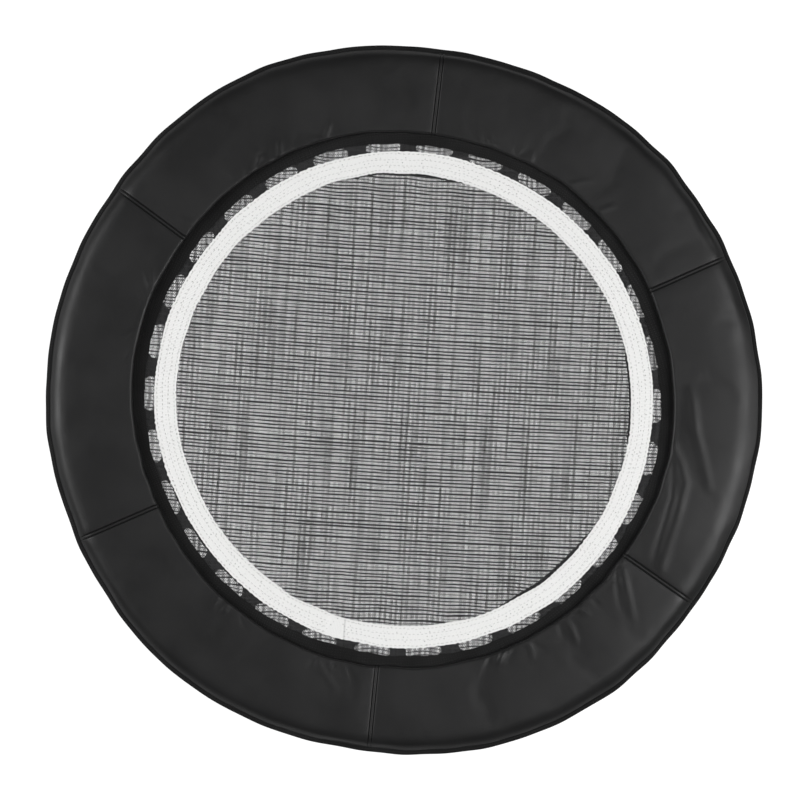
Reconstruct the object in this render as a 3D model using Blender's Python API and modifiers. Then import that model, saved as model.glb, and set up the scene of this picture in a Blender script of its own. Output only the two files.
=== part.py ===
"""Mini trampoline: a steel ring on six screw-in legs, a woven mat hung in it on thirty coil springs, and a
padded vinyl ring over the springs.

Metres, +Z up. The origin is on the floor under the middle of the mat. Heights in the functions below are
measured from the middle of the ring's tube, unless they say otherwise.
"""

import math

import bmesh
import bpy
import numpy as np
from mathutils import Matrix, Vector

# Gap between faces that touch on the real object
CLEARANCE = 0.0003

# Steel ring of round tube; radii of tubes and wires are outer radii
RING_RADIUS = 0.4445
RING_HEIGHT = 0.195
TUBE_RADIUS = 0.0127
TUBE_WALL = 0.0015

# Springs, measured from the tube's inner side to the point of the V-ring
SPRING_COUNT = 30
SPRING_START = math.radians(5)
SPRING_LENGTH = 0.0728
SPRING_WIRE = 0.0012
COIL_RADIUS = 0.008
HOOK_REACH = 0.012
HOOK_TIP = 0.004
HOLE_CLEARANCE = 0.0006

# V-rings between the springs and the mat
VEE_WIRE = 0.0018
VEE_DEPTH = 0.018
VEE_POINT = 0.006

# Mat with its sewn band and tabs
MAT_THICKNESS = 0.0012
BAND_INSET = 0.013
BAND_WIDTH = 0.029
BAND_THICKNESS = 0.0014
TAB_WIDTH = 0.026
WEBBING = 0.0012
HEM_INSET = 0.002
LOOP_GAP = 0.0007

# Padded ring: vinyl cover over foam, with a lining below and tape on both edges
PANEL_COUNT = 6
SEAM_START = math.radians(23.8)
SEAM_WIDTH = 0.014
SEAM_DIP = 0.003
SEAM_PULL = 0.0026
PAD_OVERHANG = 0.0088
PAD_SETBACK = 0.0126
FOAM = 0.012
FOAM_INSET = 0.004
COVER = 0.0009
LINING = 0.0006
CROWN_POWER = 6
RIM_DROP = 0.002
FLANGE_DROP = 0.005
BINDING_WIDTH = 0.0085
BINDING = 0.0008
SKIRT_WIDTH = 0.015
SKIRT_LAP = 0.008
SKIRT = 0.001
SEAT_SLACK = 0.0025
STRAP_WIDTH = 0.025
STRAP = 0.0012
FIRST_STRAP = 3.5

# Legs: a threaded stud under the ring, a saddle washer, a tube and a rubber foot; the first leg and the first
# strap are placed in spring pitches from the first spring
LEG_COUNT = 6
FIRST_LEG = 4.5
LEG_RADIUS = 0.0127
LEG_WALL = 0.0015
STUD_RADIUS = 0.005
STUD_LENGTH = 0.030
STUD_ROOT = 0.004
SADDLE_HEIGHT = 0.010
SADDLE_HORN = 0.005
NUT_DEPTH = 0.030
FOOT_WALL = 0.0035
FOOT_HEIGHT = 0.032
FOOT_BASE = 0.006
FOOT_CHAMFER = 0.002

# How finely round shapes are divided
RING_FACETS = 2 * SPRING_COUNT
TUBE_SIDES = 12
COIL_SIDES = 8
HOLE_SIDES = 6
LEG_SIDES = 10
STUD_SIDES = 10
PANEL_STEPS = 6
CROWN_STATIONS = (0.2, 0.8)
WELD = 0.00001
SMOOTH_ANGLE = math.radians(40)

# Radii that follow from the sizes above
TUBE_INSIDE = RING_RADIUS - TUBE_RADIUS
VEE_TIP_RADIUS = TUBE_INSIDE - SPRING_LENGTH
BAR_RADIUS = VEE_TIP_RADIUS - VEE_DEPTH
LOOP_RADIUS = VEE_WIRE + CLEARANCE + WEBBING
MAT_RADIUS = BAR_RADIUS - LOOP_RADIUS - LOOP_GAP
BAND_OUTER = MAT_RADIUS - BAND_INSET
BAND_INNER = BAND_OUTER - BAND_WIDTH
COIL_START = VEE_TIP_RADIUS + HOOK_REACH
COIL_END = TUBE_INSIDE - HOOK_REACH
PAD_OUTER = RING_RADIUS + TUBE_RADIUS + PAD_OVERHANG
PAD_INNER = MAT_RADIUS + PAD_SETBACK

# Heights that follow from the sizes above
MAT_BOTTOM = WEBBING + CLEARANCE
MAT_TOP = MAT_BOTTOM + MAT_THICKNESS
PAD_SEAT = TUBE_RADIUS + CLEARANCE
LEG_TOP = -TUBE_RADIUS - SADDLE_HEIGHT - CLEARANCE
FLOOR = -RING_HEIGHT

# The pad lies flat on the tube's top over this far to each side of its middle
SEAT_HALF = TUBE_RADIUS * math.tan(math.pi / TUBE_SIDES) + SEAT_SLACK


def new_collection(name):
    made = bpy.data.collections.new(name)
    bpy.context.scene.collection.children.link(made)
    return made


def new_material(name, colour, roughness, metallic=0.0):
    made = bpy.data.materials.new(name)
    made.use_nodes = True
    surface = made.node_tree.nodes["Principled BSDF"]
    surface.inputs["Base Color"].default_value = (*colour, 1)
    surface.inputs["Roughness"].default_value = roughness
    surface.inputs["Metallic"].default_value = metallic
    made.diffuse_color = (*colour, 1)
    return made


def new_object(name, data, collection):
    made = bpy.data.objects.new(name, data)
    collection.objects.link(made)
    return made


def add_part(name, mesh, material, parent, angle=0.0):
    """A sub-part hung on an empty, turned about it by the angle."""
    part = new_object(name, mesh, PARTS)
    if not mesh.materials:
        mesh.materials.append(material)
        mesh.shade_smooth()
        mesh.set_sharp_from_angle(angle=SMOOTH_ANGLE)
    part.parent = parent
    part.rotation_euler.z = angle
    return part


def add_empty(name, location):
    made = new_object(name, None, PARTS)
    made.location = location
    made.empty_display_size = TUBE_RADIUS
    return made


def add_boolean(obj, operation, tool_mesh):
    """A live Boolean on the object, with its tool kept among the cutters and placed as the object is."""
    tool = new_object(f"{obj.name}_{operation.lower()}", tool_mesh, CUTTERS)
    tool.parent = obj.parent
    tool.hide_render = True
    tool.display_type = "WIRE"
    modifier = obj.modifiers.new(tool.name, "BOOLEAN")
    modifier.operation = operation
    modifier.object = tool


def welded(mesh):
    """The mesh with doubled points merged and its faces turned outwards."""
    shape = bmesh.new()
    shape.from_mesh(mesh)
    bmesh.ops.remove_doubles(shape, verts=shape.verts, dist=WELD)
    bmesh.ops.recalc_face_normals(shape, faces=shape.faces)
    shape.to_mesh(mesh)
    shape.free()
    return mesh


def baked(obj):
    """The object as a plain welded mesh with its modifiers applied. It and its Boolean tools are removed."""
    tools = [modifier.object for modifier in obj.modifiers if modifier.type == "BOOLEAN"]
    graph = bpy.context.evaluated_depsgraph_get()
    mesh = bpy.data.meshes.new_from_object(obj.evaluated_get(graph), depsgraph=graph)
    for used in [obj, *tools]:
        bpy.data.objects.remove(used)
    return welded(mesh)


def turned(profile, steps, start=0.0, closed=True):
    """A profile of (radius, height) points, running down its outer side, turned about Z from the start."""
    turn = Matrix.Rotation(start, 4, "Z")
    points = [turn @ Vector((radius, 0, height)) for radius, height in profile]
    edges = [(i, i + 1) for i in range(len(points) - 1)]
    if closed:
        edges.append((len(points) - 1, 0))
    mesh = bpy.data.meshes.new("profile")
    mesh.from_pydata(points, edges, [])
    obj = new_object("profile", mesh, CUTTERS)
    screw = obj.modifiers.new("turn", "SCREW")
    screw.steps = screw.render_steps = steps
    screw.use_merge_vertices = True
    screw.merge_threshold = WELD
    return baked(obj)


def turned_ring(profile, closed=True):
    """A profile turned about Z in the ring's facets, whose middles lie at its radii and at the springs."""
    spread = 1 / math.cos(math.pi / RING_FACETS)
    wide = [(radius * spread, height) for radius, height in profile]
    return turned(wide, RING_FACETS, SPRING_START + math.pi / RING_FACETS, closed)


def wire(points, radius, closed=False):
    """A square-sided wire along the points."""
    curve = bpy.data.curves.new("wire", "CURVE")
    curve.dimensions = "3D"
    curve.bevel_depth = radius
    curve.bevel_resolution = 0
    curve.use_fill_caps = not closed
    spline = curve.splines.new("POLY")
    spline.points.add(len(points) - 1)
    for point, place in zip(spline.points, points):
        point.co = (*place, 1)
    spline.use_cyclic_u = closed
    return baked(new_object("wire", curve, CUTTERS))


def slab(outlines, width):
    """Flat outlines of (radius, height) points, the later ones being holes, made this wide at the radius."""
    curve = bpy.data.curves.new("slab", "CURVE")
    curve.dimensions = "2D"
    curve.fill_mode = "BOTH"
    curve.extrude = width / 2
    for outline in outlines:
        spline = curve.splines.new("POLY")
        spline.points.add(len(outline) - 1)
        for point, (radius, height) in zip(spline.points, outline):
            point.co = (radius, height, 0, 1)
        spline.use_cyclic_u = True
    mesh = baked(new_object("slab", curve, CUTTERS))
    mesh.transform(Matrix.Rotation(math.pi / 2, 4, "X"))
    return mesh


def rod(start, end, radius, sides):
    """A capped round bar between two points."""
    start, end = Vector(start), Vector(end)
    axis = end - start
    place = Matrix.Translation((start + end) / 2) @ axis.to_track_quat("Z", "Y").to_matrix().to_4x4()
    shape = bmesh.new()
    bmesh.ops.create_cone(
        shape,
        cap_ends=True,
        segments=sides,
        radius1=radius,
        radius2=radius,
        depth=axis.length,
        matrix=place,
    )
    mesh = bpy.data.meshes.new("rod")
    shape.to_mesh(mesh)
    shape.free()
    return welded(mesh)


def copies(mesh, angles, offset=(0, 0, 0)):
    """Copies of the mesh, moved by the offset and turned about Z to each angle, as the bodies of one mesh."""
    shape = bmesh.new()
    for angle in angles:
        copy = mesh.copy()
        copy.transform(Matrix.Rotation(angle, 4, "Z") @ Matrix.Translation(offset))
        shape.from_mesh(copy)
        bpy.data.meshes.remove(copy)
    made = bpy.data.meshes.new("copies")
    shape.to_mesh(made)
    shape.free()
    return made


def flats(radius, sides, centre=(0.0, 0.0)):
    """Corners of a regular polygon whose flats lie at the radius, clockwise from above its outer side."""
    corner = radius / math.cos(math.pi / sides)
    angles = [math.pi / sides - math.tau * i / sides for i in range(sides)]
    return [(centre[0] + corner * math.cos(a), centre[1] + corner * math.sin(a)) for a in angles]


def spring_angle(pitches):
    """The angle this many spring pitches on from the first spring."""
    return SPRING_START + pitches * math.tau / SPRING_COUNT


def between_springs(pitches, count):
    """Angles of a count of places round the ring, each midway between two springs."""
    return [spring_angle(pitches + round(k * SPRING_COUNT / count)) for k in range(count)]


SPRING_ANGLES = [spring_angle(k) for k in range(SPRING_COUNT)]
LEG_ANGLES = between_springs(FIRST_LEG, LEG_COUNT)
STRAP_ANGLES = between_springs(FIRST_STRAP, PANEL_COUNT)


def make_ring():
    """The bent tube, bored hollow, with a hole for each spring hook and a threaded stud for each leg."""
    centre = (RING_RADIUS, 0.0)
    ring = add_part("frame_ring", turned_ring(flats(TUBE_RADIUS, TUBE_SIDES, centre)), STEEL, FRAME)
    add_boolean(ring, "DIFFERENCE", turned_ring(flats(TUBE_RADIUS - TUBE_WALL, TUBE_SIDES, centre)))
    hole_start = (TUBE_INSIDE - TUBE_WALL, 0, 0)
    hole_end = (TUBE_INSIDE + 2 * TUBE_WALL, 0, 0)
    hole = rod(hole_start, hole_end, SPRING_WIRE + HOLE_CLEARANCE, HOLE_SIDES)
    add_boolean(ring, "DIFFERENCE", copies(hole, SPRING_ANGLES))
    stud = rod((0, 0, STUD_ROOT - TUBE_RADIUS), (0, 0, -TUBE_RADIUS - STUD_LENGTH), STUD_RADIUS, STUD_SIDES)
    add_boolean(ring, "UNION", copies(stud, LEG_ANGLES, (RING_RADIUS, 0, 0)))


def spring_mesh():
    """A spring along +X: its coil as one bar, a hook through the tube's wall and a V-ring at the other end."""
    inside = TUBE_INSIDE + TUBE_WALL + HOOK_TIP
    body = new_object("spring", rod((COIL_START, 0, 0), (COIL_END, 0, 0), COIL_RADIUS, COIL_SIDES), CUTTERS)
    outer = [(COIL_END - SPRING_WIRE, 0, 0), (inside, 0, 0), (inside + SPRING_WIRE, 0, -HOOK_TIP)]
    add_boolean(body, "UNION", wire(outer, SPRING_WIRE))
    inner = [(COIL_START + SPRING_WIRE, 0, 0), (VEE_TIP_RADIUS - SPRING_WIRE, 0, 0)]
    add_boolean(body, "UNION", wire(inner, SPRING_WIRE))
    half_bar = TAB_WIDTH / 2 + VEE_WIRE + 2 * CLEARANCE
    half_point = VEE_POINT / 2
    past_loop = BAR_RADIUS + LOOP_RADIUS + VEE_WIRE
    vee = [
        (BAR_RADIUS, -half_bar, 0),
        (BAR_RADIUS, half_bar, 0),
        (past_loop, half_bar, 0),
        (VEE_TIP_RADIUS, half_point, 0),
        (VEE_TIP_RADIUS, -half_point, 0),
        (past_loop, -half_bar, 0),
    ]
    add_boolean(body, "UNION", wire(vee, VEE_WIRE, closed=True))
    return baked(body)


def make_springs():
    mesh = spring_mesh()
    for k, angle in enumerate(SPRING_ANGLES):
        add_part(f"spring_{k + 1:02d}", mesh, ZINC, FRAME, angle)


def make_mat():
    """The woven disc, the band sewn on it, and under the band a hem tape with a tab for each V-ring."""
    disc = [(0, MAT_TOP), (MAT_RADIUS, MAT_TOP), (MAT_RADIUS, MAT_BOTTOM), (0, MAT_BOTTOM)]
    add_part("jump_mat", turned_ring(disc, closed=False), MESH_CLOTH, MAT_AXIS)
    low = MAT_TOP + CLEARANCE
    high = low + BAND_THICKNESS
    band = [(BAND_OUTER, high), (BAND_OUTER, low), (BAND_INNER, low), (BAND_INNER, high)]
    add_part("mat_edge_band", turned_ring(band), WHITE_WEBBING, MAT_AXIS)

    hem_inner, hem_outer = BAND_INNER + HEM_INSET, BAND_OUTER - HEM_INSET
    half_hem = WEBBING - CLEARANCE
    hem = [(hem_outer, half_hem), (hem_outer, -half_hem), (hem_inner, -half_hem), (hem_inner, half_hem)]
    tabs = add_part("mat_tab_ring", turned_ring(hem), BLACK_WEBBING, MAT_AXIS)
    root = (hem_inner + hem_outer) / 2
    neck = BAR_RADIUS - LOOP_RADIUS
    loop_corners = [math.radians(a) for a in (120, 60, 0, -60, -120)]
    loop = [(BAR_RADIUS + LOOP_RADIUS * math.cos(a), LOOP_RADIUS * math.sin(a)) for a in loop_corners]
    tab = [(root, WEBBING), (neck, WEBBING), *loop, (neck, -WEBBING), (root, -WEBBING)]
    eye = flats(VEE_WIRE + CLEARANCE, HOLE_SIDES, (BAR_RADIUS, 0.0))
    add_boolean(tabs, "UNION", copies(slab([tab, eye], TAB_WIDTH), SPRING_ANGLES))


def make_leg(number, angle, saddle, tube, foot):
    """One leg on its stud's axis: the saddle washer under the ring, the tube and the foot."""
    centre = (RING_RADIUS * math.cos(angle), RING_RADIUS * math.sin(angle), RING_HEIGHT)
    axis = add_empty(f"leg_axis_{number}", centre)
    add_part(f"leg_saddle_{number}", saddle, BLACK_PLASTIC, axis, angle)
    add_part(f"leg_{number}", tube, STEEL, axis, angle)
    add_part(f"foot_{number}", foot, RUBBER, axis, angle)


def saddle_mesh():
    """A washer bored for the stud, flat below and hollowed above to sit against the round tube."""
    bore = STUD_RADIUS + CLEARANCE
    top, bottom = SADDLE_HORN - TUBE_RADIUS, -TUBE_RADIUS - SADDLE_HEIGHT
    washer = turned([(LEG_RADIUS, top), (LEG_RADIUS, bottom), (bore, bottom), (bore, top)], LEG_SIDES)
    body = new_object("saddle", washer, CUTTERS)
    seat = slab([flats(PAD_SEAT, TUBE_SIDES)], 4 * LEG_RADIUS)
    add_boolean(body, "DIFFERENCE", seat)
    return baked(body)


def make_legs():
    nut_radius, nut_bottom = STUD_RADIUS + CLEARANCE, LEG_TOP - NUT_DEPTH
    inside = LEG_RADIUS - LEG_WALL
    seat = FLOOR + FOOT_BASE
    leg_profile = [
        (LEG_RADIUS, LEG_TOP),
        (LEG_RADIUS, seat + CLEARANCE),
        (inside, seat + CLEARANCE),
        (inside, nut_bottom),
        (nut_radius, nut_bottom),
        (nut_radius, LEG_TOP),
    ]
    cup = LEG_RADIUS + CLEARANCE
    foot_radius = cup + FOOT_WALL
    foot_profile = [
        (0, seat),
        (cup, seat),
        (cup, FLOOR + FOOT_HEIGHT),
        (foot_radius, FLOOR + FOOT_HEIGHT),
        (foot_radius, FLOOR + FOOT_CHAMFER),
        (foot_radius - FOOT_CHAMFER, FLOOR),
        (0, FLOOR),
    ]
    saddle = saddle_mesh()
    tube = turned(leg_profile, LEG_SIDES)
    foot = turned(foot_profile, LEG_SIDES, closed=False)
    for k, angle in enumerate(LEG_ANGLES):
        make_leg(k + 1, angle, saddle, tube, foot)


def seam_offset(angle):
    """The angle to the nearest radial seam."""
    panel = math.tau / PANEL_COUNT
    return (angle - SEAM_START + panel / 2) % panel - panel / 2


def seam_half():
    """Half a seam channel's width, as an angle at the middle of the pad."""
    return SEAM_WIDTH / (PAD_INNER + PAD_OUTER)


def pad_stations():
    """Angles of the pad's sections: each seam's middle and shoulders, and even steps across each panel."""
    panel = math.tau / PANEL_COUNT
    step = (panel - 2 * seam_half()) / PANEL_STEPS
    angles = []
    for k in range(PANEL_COUNT):
        seam = SEAM_START + k * panel
        angles.append(seam)
        angles.extend(seam + seam_half() + i * step for i in range(PANEL_STEPS + 1))
    return angles


class PadSection:
    """Radii and heights of the pad's layers at one angle. Its outer edge is drawn in at the seams."""

    def __init__(self, angle):
        offset = seam_offset(angle)
        pull = math.cos(offset * PANEL_COUNT / 2) ** 2
        self.edge = PAD_OUTER - SEAM_PULL * pull
        self.rim = self.edge - BINDING_WIDTH
        self.flange = self.edge - BINDING - CLEARANCE
        self.dip = SEAM_DIP * max(0.0, 1 - abs(offset) / seam_half())
        seat_inner, seat_outer = RING_RADIUS - SEAT_HALF, RING_RADIUS + SEAT_HALF
        over_coils = COIL_RADIUS + CLEARANCE
        slope = (PAD_SEAT - over_coils) / (seat_inner - COIL_START)
        inner_height = over_coils - slope * (COIL_START - PAD_INNER)
        rim_height = PAD_SEAT - RIM_DROP
        self.knots = [PAD_INNER, seat_inner, seat_outer, self.rim, self.edge]
        self.knot_heights = [inner_height, PAD_SEAT, PAD_SEAT, rim_height, rim_height - FLANGE_DROP]

    def under(self, radius):
        """Height of the lining's lower side: over the coils, flat on the tube, then falling to the edge."""
        return float(np.interp(radius, self.knots, self.knot_heights))

    def foam_bottom(self, radius):
        return self.under(radius) + LINING + CLEARANCE

    def foam_top(self, radius):
        """The crown: full thickness across the middle, rounded off at both edges and lower along a seam."""
        across = min(max((radius - PAD_INNER) / (self.rim - PAD_INNER), 0.0), 1.0)
        crown = math.sqrt(1 - abs(2 * across - 1) ** CROWN_POWER)
        return self.foam_bottom(radius) + crown * (FOAM - self.dip)

    def cover_top(self, radius):
        return self.foam_top(radius) + CLEARANCE + COVER

    def foam_radii(self):
        start, end = PAD_INNER + FOAM_INSET, self.rim - FOAM_INSET
        middles = [PAD_INNER + share * (self.rim - PAD_INNER) for share in CROWN_STATIONS]
        return [start, *middles, end]

    def foam_loop(self):
        top = self.foam_radii()
        bottom = [top[-1], min(self.knots[2], top[-1]), self.knots[1], top[0]]
        return [(r, self.foam_top(r)) for r in top] + [(r, self.foam_bottom(r)) for r in bottom]

    def cover_loop(self):
        shoulder = FOAM_INSET / 3
        inner, outer = [PAD_INNER, PAD_INNER + shoulder], [self.rim - shoulder, self.rim, self.flange]
        radii = [*inner, *self.foam_radii(), *outer]
        outside = [(r, self.cover_top(r)) for r in radii]
        return outside + [(r, z - COVER) for r, z in reversed(outside)]

    def lining_loop(self):
        radii = [*self.knots[:4], self.flange]
        lower = [(r, self.under(r)) for r in radii]
        return lower + [(r, z + LINING) for r, z in reversed(lower)]

    def binding_loop(self):
        """A tape folded over the edge, from the rim on top round to the rim below."""
        fold = self.flange + CLEARANCE
        top = [(r, self.cover_top(r) + CLEARANCE) for r in (self.rim, fold)]
        low = [(r, self.under(r) - CLEARANCE) for r in (fold, self.rim)]
        outer_low = [(r, self.under(r) - CLEARANCE - BINDING) for r in (self.rim, self.edge)]
        outer_top = [(r, self.cover_top(r) + CLEARANCE + BINDING) for r in (self.edge, self.rim)]
        return top + low + outer_low + outer_top

    def skirt_loop(self):
        """A tape from under the lining's inner edge, down over the tab loops and on to the mat."""
        resting = max(MAT_TOP, LOOP_RADIUS) + CLEARANCE + SKIRT
        lap = PAD_INNER + SKIRT_LAP
        top = [
            (lap, self.under(lap) - CLEARANCE),
            (PAD_INNER, self.under(PAD_INNER) - CLEARANCE),
            (BAR_RADIUS + LOOP_RADIUS, resting),
            (PAD_INNER - SKIRT_WIDTH, resting),
        ]
        return top + [(r, z - SKIRT) for r, z in reversed(top)]


def lofted_ring(loop_of):
    """A closed ring through the loop of (radius, height) points that each pad section gives.

    Each four-sided face is split from its inner point here to its outer point there, so that the layers stay
    parallel.
    """
    shape = bmesh.new()
    loops = []
    for angle in pad_stations():
        turn = Matrix.Rotation(angle, 4, "Z")
        points = loop_of(PadSection(angle))
        loops.append([(r, shape.verts.new(turn @ Vector((r, 0, z)))) for r, z in points])
    for here, there in zip(loops, loops[1:] + loops[:1]):
        for i in range(len(here)):
            (r_a, a), (r_b, b) = here[i - 1], here[i]
            c, d = there[i][1], there[i - 1][1]
            halves = ((a, b, c), (a, c, d)) if r_a < r_b else ((a, b, d), (b, c, d))
            for half in halves:
                shape.faces.new(half)
    mesh = bpy.data.meshes.new("pad_layer")
    shape.to_mesh(mesh)
    shape.free()
    return welded(mesh)


def strap_outline():
    """A band that hangs from the lining and runs round below the tube, as (radius, height) points."""
    section = PadSection(STRAP_ANGLES[0])
    # Corners from 45 degrees on the outer side, round below the tube, to 45 degrees on the inner side
    below = [-1, *range(TUBE_SIDES - 3)]
    sides = []
    for reach in (PAD_SEAT, PAD_SEAT + STRAP):
        corners = flats(reach, TUBE_SIDES, (RING_RADIUS, 0.0))
        run = [corners[i] for i in below]
        first, last = run[0][0], run[-1][0]
        ends = [(r, section.under(r) + LINING / 2) for r in (first, last)]
        sides.append([ends[0], *run, ends[1]])
    return sides[0] + sides[1][::-1]


def make_pad():
    add_part("pad_cover", lofted_ring(PadSection.cover_loop), VINYL, FRAME)
    add_part("pad_foam", lofted_ring(PadSection.foam_loop), FOAM_GREY, FRAME)
    lining = add_part("pad_lining", lofted_ring(PadSection.lining_loop), LINING_CLOTH, FRAME)
    add_boolean(lining, "UNION", copies(slab([strap_outline()], STRAP_WIDTH), STRAP_ANGLES))
    add_part("pad_outer_binding", lofted_ring(PadSection.binding_loop), BLACK_WEBBING, FRAME)
    add_part("pad_inner_skirt", lofted_ring(PadSection.skirt_loop), BLACK_WEBBING, FRAME)


for leftover in list(bpy.data.objects):
    bpy.data.objects.remove(leftover)

PARTS = new_collection("mini_trampoline")
CUTTERS = new_collection("cutters")

STEEL = new_material("black_powder_coat", (0.03, 0.03, 0.032), 0.4, 0.3)
ZINC = new_material("zinc_plated_wire", (0.55, 0.55, 0.56), 0.35, 1.0)
MESH_CLOTH = new_material("grey_mesh", (0.05, 0.05, 0.052), 0.8)
WHITE_WEBBING = new_material("white_webbing", (0.8, 0.8, 0.8), 0.85)
BLACK_WEBBING = new_material("black_webbing", (0.018, 0.018, 0.018), 0.85)
VINYL = new_material("black_vinyl", (0.027, 0.027, 0.027), 0.45)
FOAM_GREY = new_material("foam", (0.5, 0.5, 0.5), 0.95)
LINING_CLOTH = new_material("lining_cloth", (0.03, 0.03, 0.03), 0.9)
BLACK_PLASTIC = new_material("black_plastic", (0.02, 0.02, 0.02), 0.55)
RUBBER = new_material("black_rubber", (0.015, 0.015, 0.015), 0.8)

FRAME = add_empty("frame", (0, 0, RING_HEIGHT))
MAT_AXIS = add_empty("mat_axis", (0, 0, RING_HEIGHT))

make_ring()
make_springs()
make_mat()
make_pad()
make_legs()
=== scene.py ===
"""A round mini trampoline: steel ring and legs, springs, sewn mesh mat and padded spring cover."""

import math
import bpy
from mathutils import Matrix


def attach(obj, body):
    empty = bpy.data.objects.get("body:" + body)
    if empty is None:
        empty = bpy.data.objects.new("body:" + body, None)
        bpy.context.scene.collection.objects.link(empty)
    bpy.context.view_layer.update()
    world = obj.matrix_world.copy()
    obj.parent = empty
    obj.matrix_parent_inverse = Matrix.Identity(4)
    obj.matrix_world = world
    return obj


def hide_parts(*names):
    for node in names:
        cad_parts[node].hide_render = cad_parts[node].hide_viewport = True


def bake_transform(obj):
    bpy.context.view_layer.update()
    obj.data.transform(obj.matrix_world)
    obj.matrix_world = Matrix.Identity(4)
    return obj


bl_info = {
    "name": "Mini Trampoline",
    "version": (1, 0, 0),
    "blender": (4, 5, 0),
    "location": "3D View > Sidebar > Trampoline",
    "description": "Builds the pieces, finishes and studio stage of a round mini trampoline",
    "category": "Add Mesh",
}

from typing import NamedTuple

import bmesh
import bpy
import numpy as np
from bpy.props import FloatProperty, FloatVectorProperty, IntProperty, PointerProperty

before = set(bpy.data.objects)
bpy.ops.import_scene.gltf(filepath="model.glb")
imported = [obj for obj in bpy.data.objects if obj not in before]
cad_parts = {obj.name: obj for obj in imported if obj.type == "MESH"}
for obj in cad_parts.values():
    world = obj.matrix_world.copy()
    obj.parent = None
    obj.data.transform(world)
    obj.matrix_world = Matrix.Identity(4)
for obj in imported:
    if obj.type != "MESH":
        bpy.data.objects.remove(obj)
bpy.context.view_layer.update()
TURN = 2 * math.pi
TINY = 1e-9  # keeps a division off zero
SAME_PLACE = 1e-6  # points no farther apart than this are merged
CLEARANCE = 0.0003  # play between two fitted pieces
SADDLE_DEPTH = 0.010  # from the tube's underside to the saddle's
FOOT_FLOOR = 0.006  # rubber under a leg's end

# Length and radius of a stitch
BAND_STITCH = (0.0034, 0.00042)
SEAM_STITCH = (0.0031, 0.0005)
BINDING_STITCH = (0.0027, 0.00034)


# Sizes and colours -----------------------------------------------------------------------------


def length(name, description, default):
    return FloatProperty(
        name=name, description=description, default=default, min=0.0, precision=4, unit="LENGTH"
    )


def bearing(name, description, degrees):
    return FloatProperty(
        name=name, description=description, default=math.radians(degrees), subtype="ANGLE"
    )


def number(name, description, default):
    return IntProperty(name=name, description=description, default=default, min=1)


def colour(name, description, default):
    return FloatVectorProperty(
        name=name, description=description, default=(*default, 1.0), size=4,
        min=0.0, max=1.0, subtype="COLOR",
    )


class FrameSizes(bpy.types.PropertyGroup):
    """Sizes of the ring, its springs and its legs."""

    ring_radius: length("Ring radius", "From the centre to the middle of the bent tube", 0.4445)
    ring_height: length("Ring height", "From the floor to the middle of the bent tube", 0.195)
    tube_radius: length("Tube radius", "Outside radius of the bent tube", 0.0127)
    stud_radius: length("Stud radius", "Outside radius of the thread a leg screws on to", 0.005)
    stud_length: length("Stud length", "How far each stud hangs below the tube", 0.03)
    thread_pitch: length("Thread pitch", "Rise of the stud's thread in one turn", 0.0015)
    leg_count: number("Legs", "How many legs the ring stands on", 6)
    first_leg: bearing("First leg", "Bearing of the first leg", 59)
    leg_radius: length("Leg radius", "Outside radius of a leg's tube", 0.0127)
    spring_count: number("Springs", "How many springs hold the mat", 30)
    first_spring: bearing("First spring", "Bearing of the first spring", 5)
    wire_radius: length("Spring wire", "Radius of the spring's wire", 0.0012)
    coil_radius: length("Coil radius", "Outside radius of a spring's coil", 0.008)
    coil_start: length("Coil start", "Where a coil's inner end lies, from the centre", 0.371)
    coil_end: length("Coil end", "Where a coil's outer end lies, from the centre", 0.4198)
    coil_turns: number("Coil turns", "Turns in one coil", 19)
    hole_radius: length("Hook hole", "Radius of the hole that a spring's hook goes through", 0.0019)
    vee_wire: length("V-ring wire", "Radius of the V-ring's wire", 0.0018)
    vee_tip: length("V-ring tip", "Where a V-ring's tip lies, from the centre", 0.359)
    bar_radius: length("V-ring bar", "Where a V-ring's straight bar lies, from the centre", 0.341)


class MatSizes(bpy.types.PropertyGroup):
    """Sizes of the mesh mat and what is sewn to it."""

    radius: length("Mat radius", "Radius of the mesh disc", 0.337)
    height: length("Mat height", "Height of the mesh above the floor", 0.1972)
    band_inner: length("Band inside", "Inside radius of the white band", 0.2954)
    band_outer: length("Band outside", "Outside radius of the white band", 0.3238)
    band_joint: bearing("Band joint", "Where the band laps over its own start", 253.8)
    tab_width: length("Tab width", "Width of a webbing tab in the open", 0.0228)
    webbing: length("Webbing", "Thickness of the webbing", 0.0012)
    weave_turn: bearing("Weave turn", "How far the weave's rows are turned from the X axis", -3.4)
    row_pitch: length("Row pitch", "Distance between the weave's rows", 0.00452)
    column_pitch: length("Column pitch", "Distance between the weave's columns", 0.0014)


class PadSizes(bpy.types.PropertyGroup):
    """Sizes of the padded cover over the springs."""

    inner_radius: length("Pad inside", "Inside radius of the vinyl", 0.3491)
    outer_radius: length("Pad outside", "Outside radius of the binding between two seams", 0.4656)
    foam: length("Foam", "Thickness of the foam", 0.012)
    panel_count: number("Panels", "How many vinyl panels are sewn into the ring", 6)
    first_seam: bearing("First seam", "Bearing of the first radial seam", 23.8)
    seam_pull: length("Seam pull", "How far a seam draws in the outer edge", 0.0034)
    seam_dip: length("Seam dip", "How far the vinyl dips along a seam", 0.0006)
    stitch_row: length("Stitch row", "From a seam's middle to each row of stitches", 0.00215)
    stitch_pitch: length("Stitch pitch", "Distance from one stitch to the next", 0.0041)
    binding_width: length("Binding", "Width of the binding on the outer edge", 0.0066)
    tape_inner: length("Tape inside", "Inside radius of the tape over the tab loops", 0.3348)
    strap_width: length("Strap width", "Width of each elastic strap", 0.025)
    first_strap: bearing("First strap", "Bearing of the first elastic strap", 47)


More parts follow.
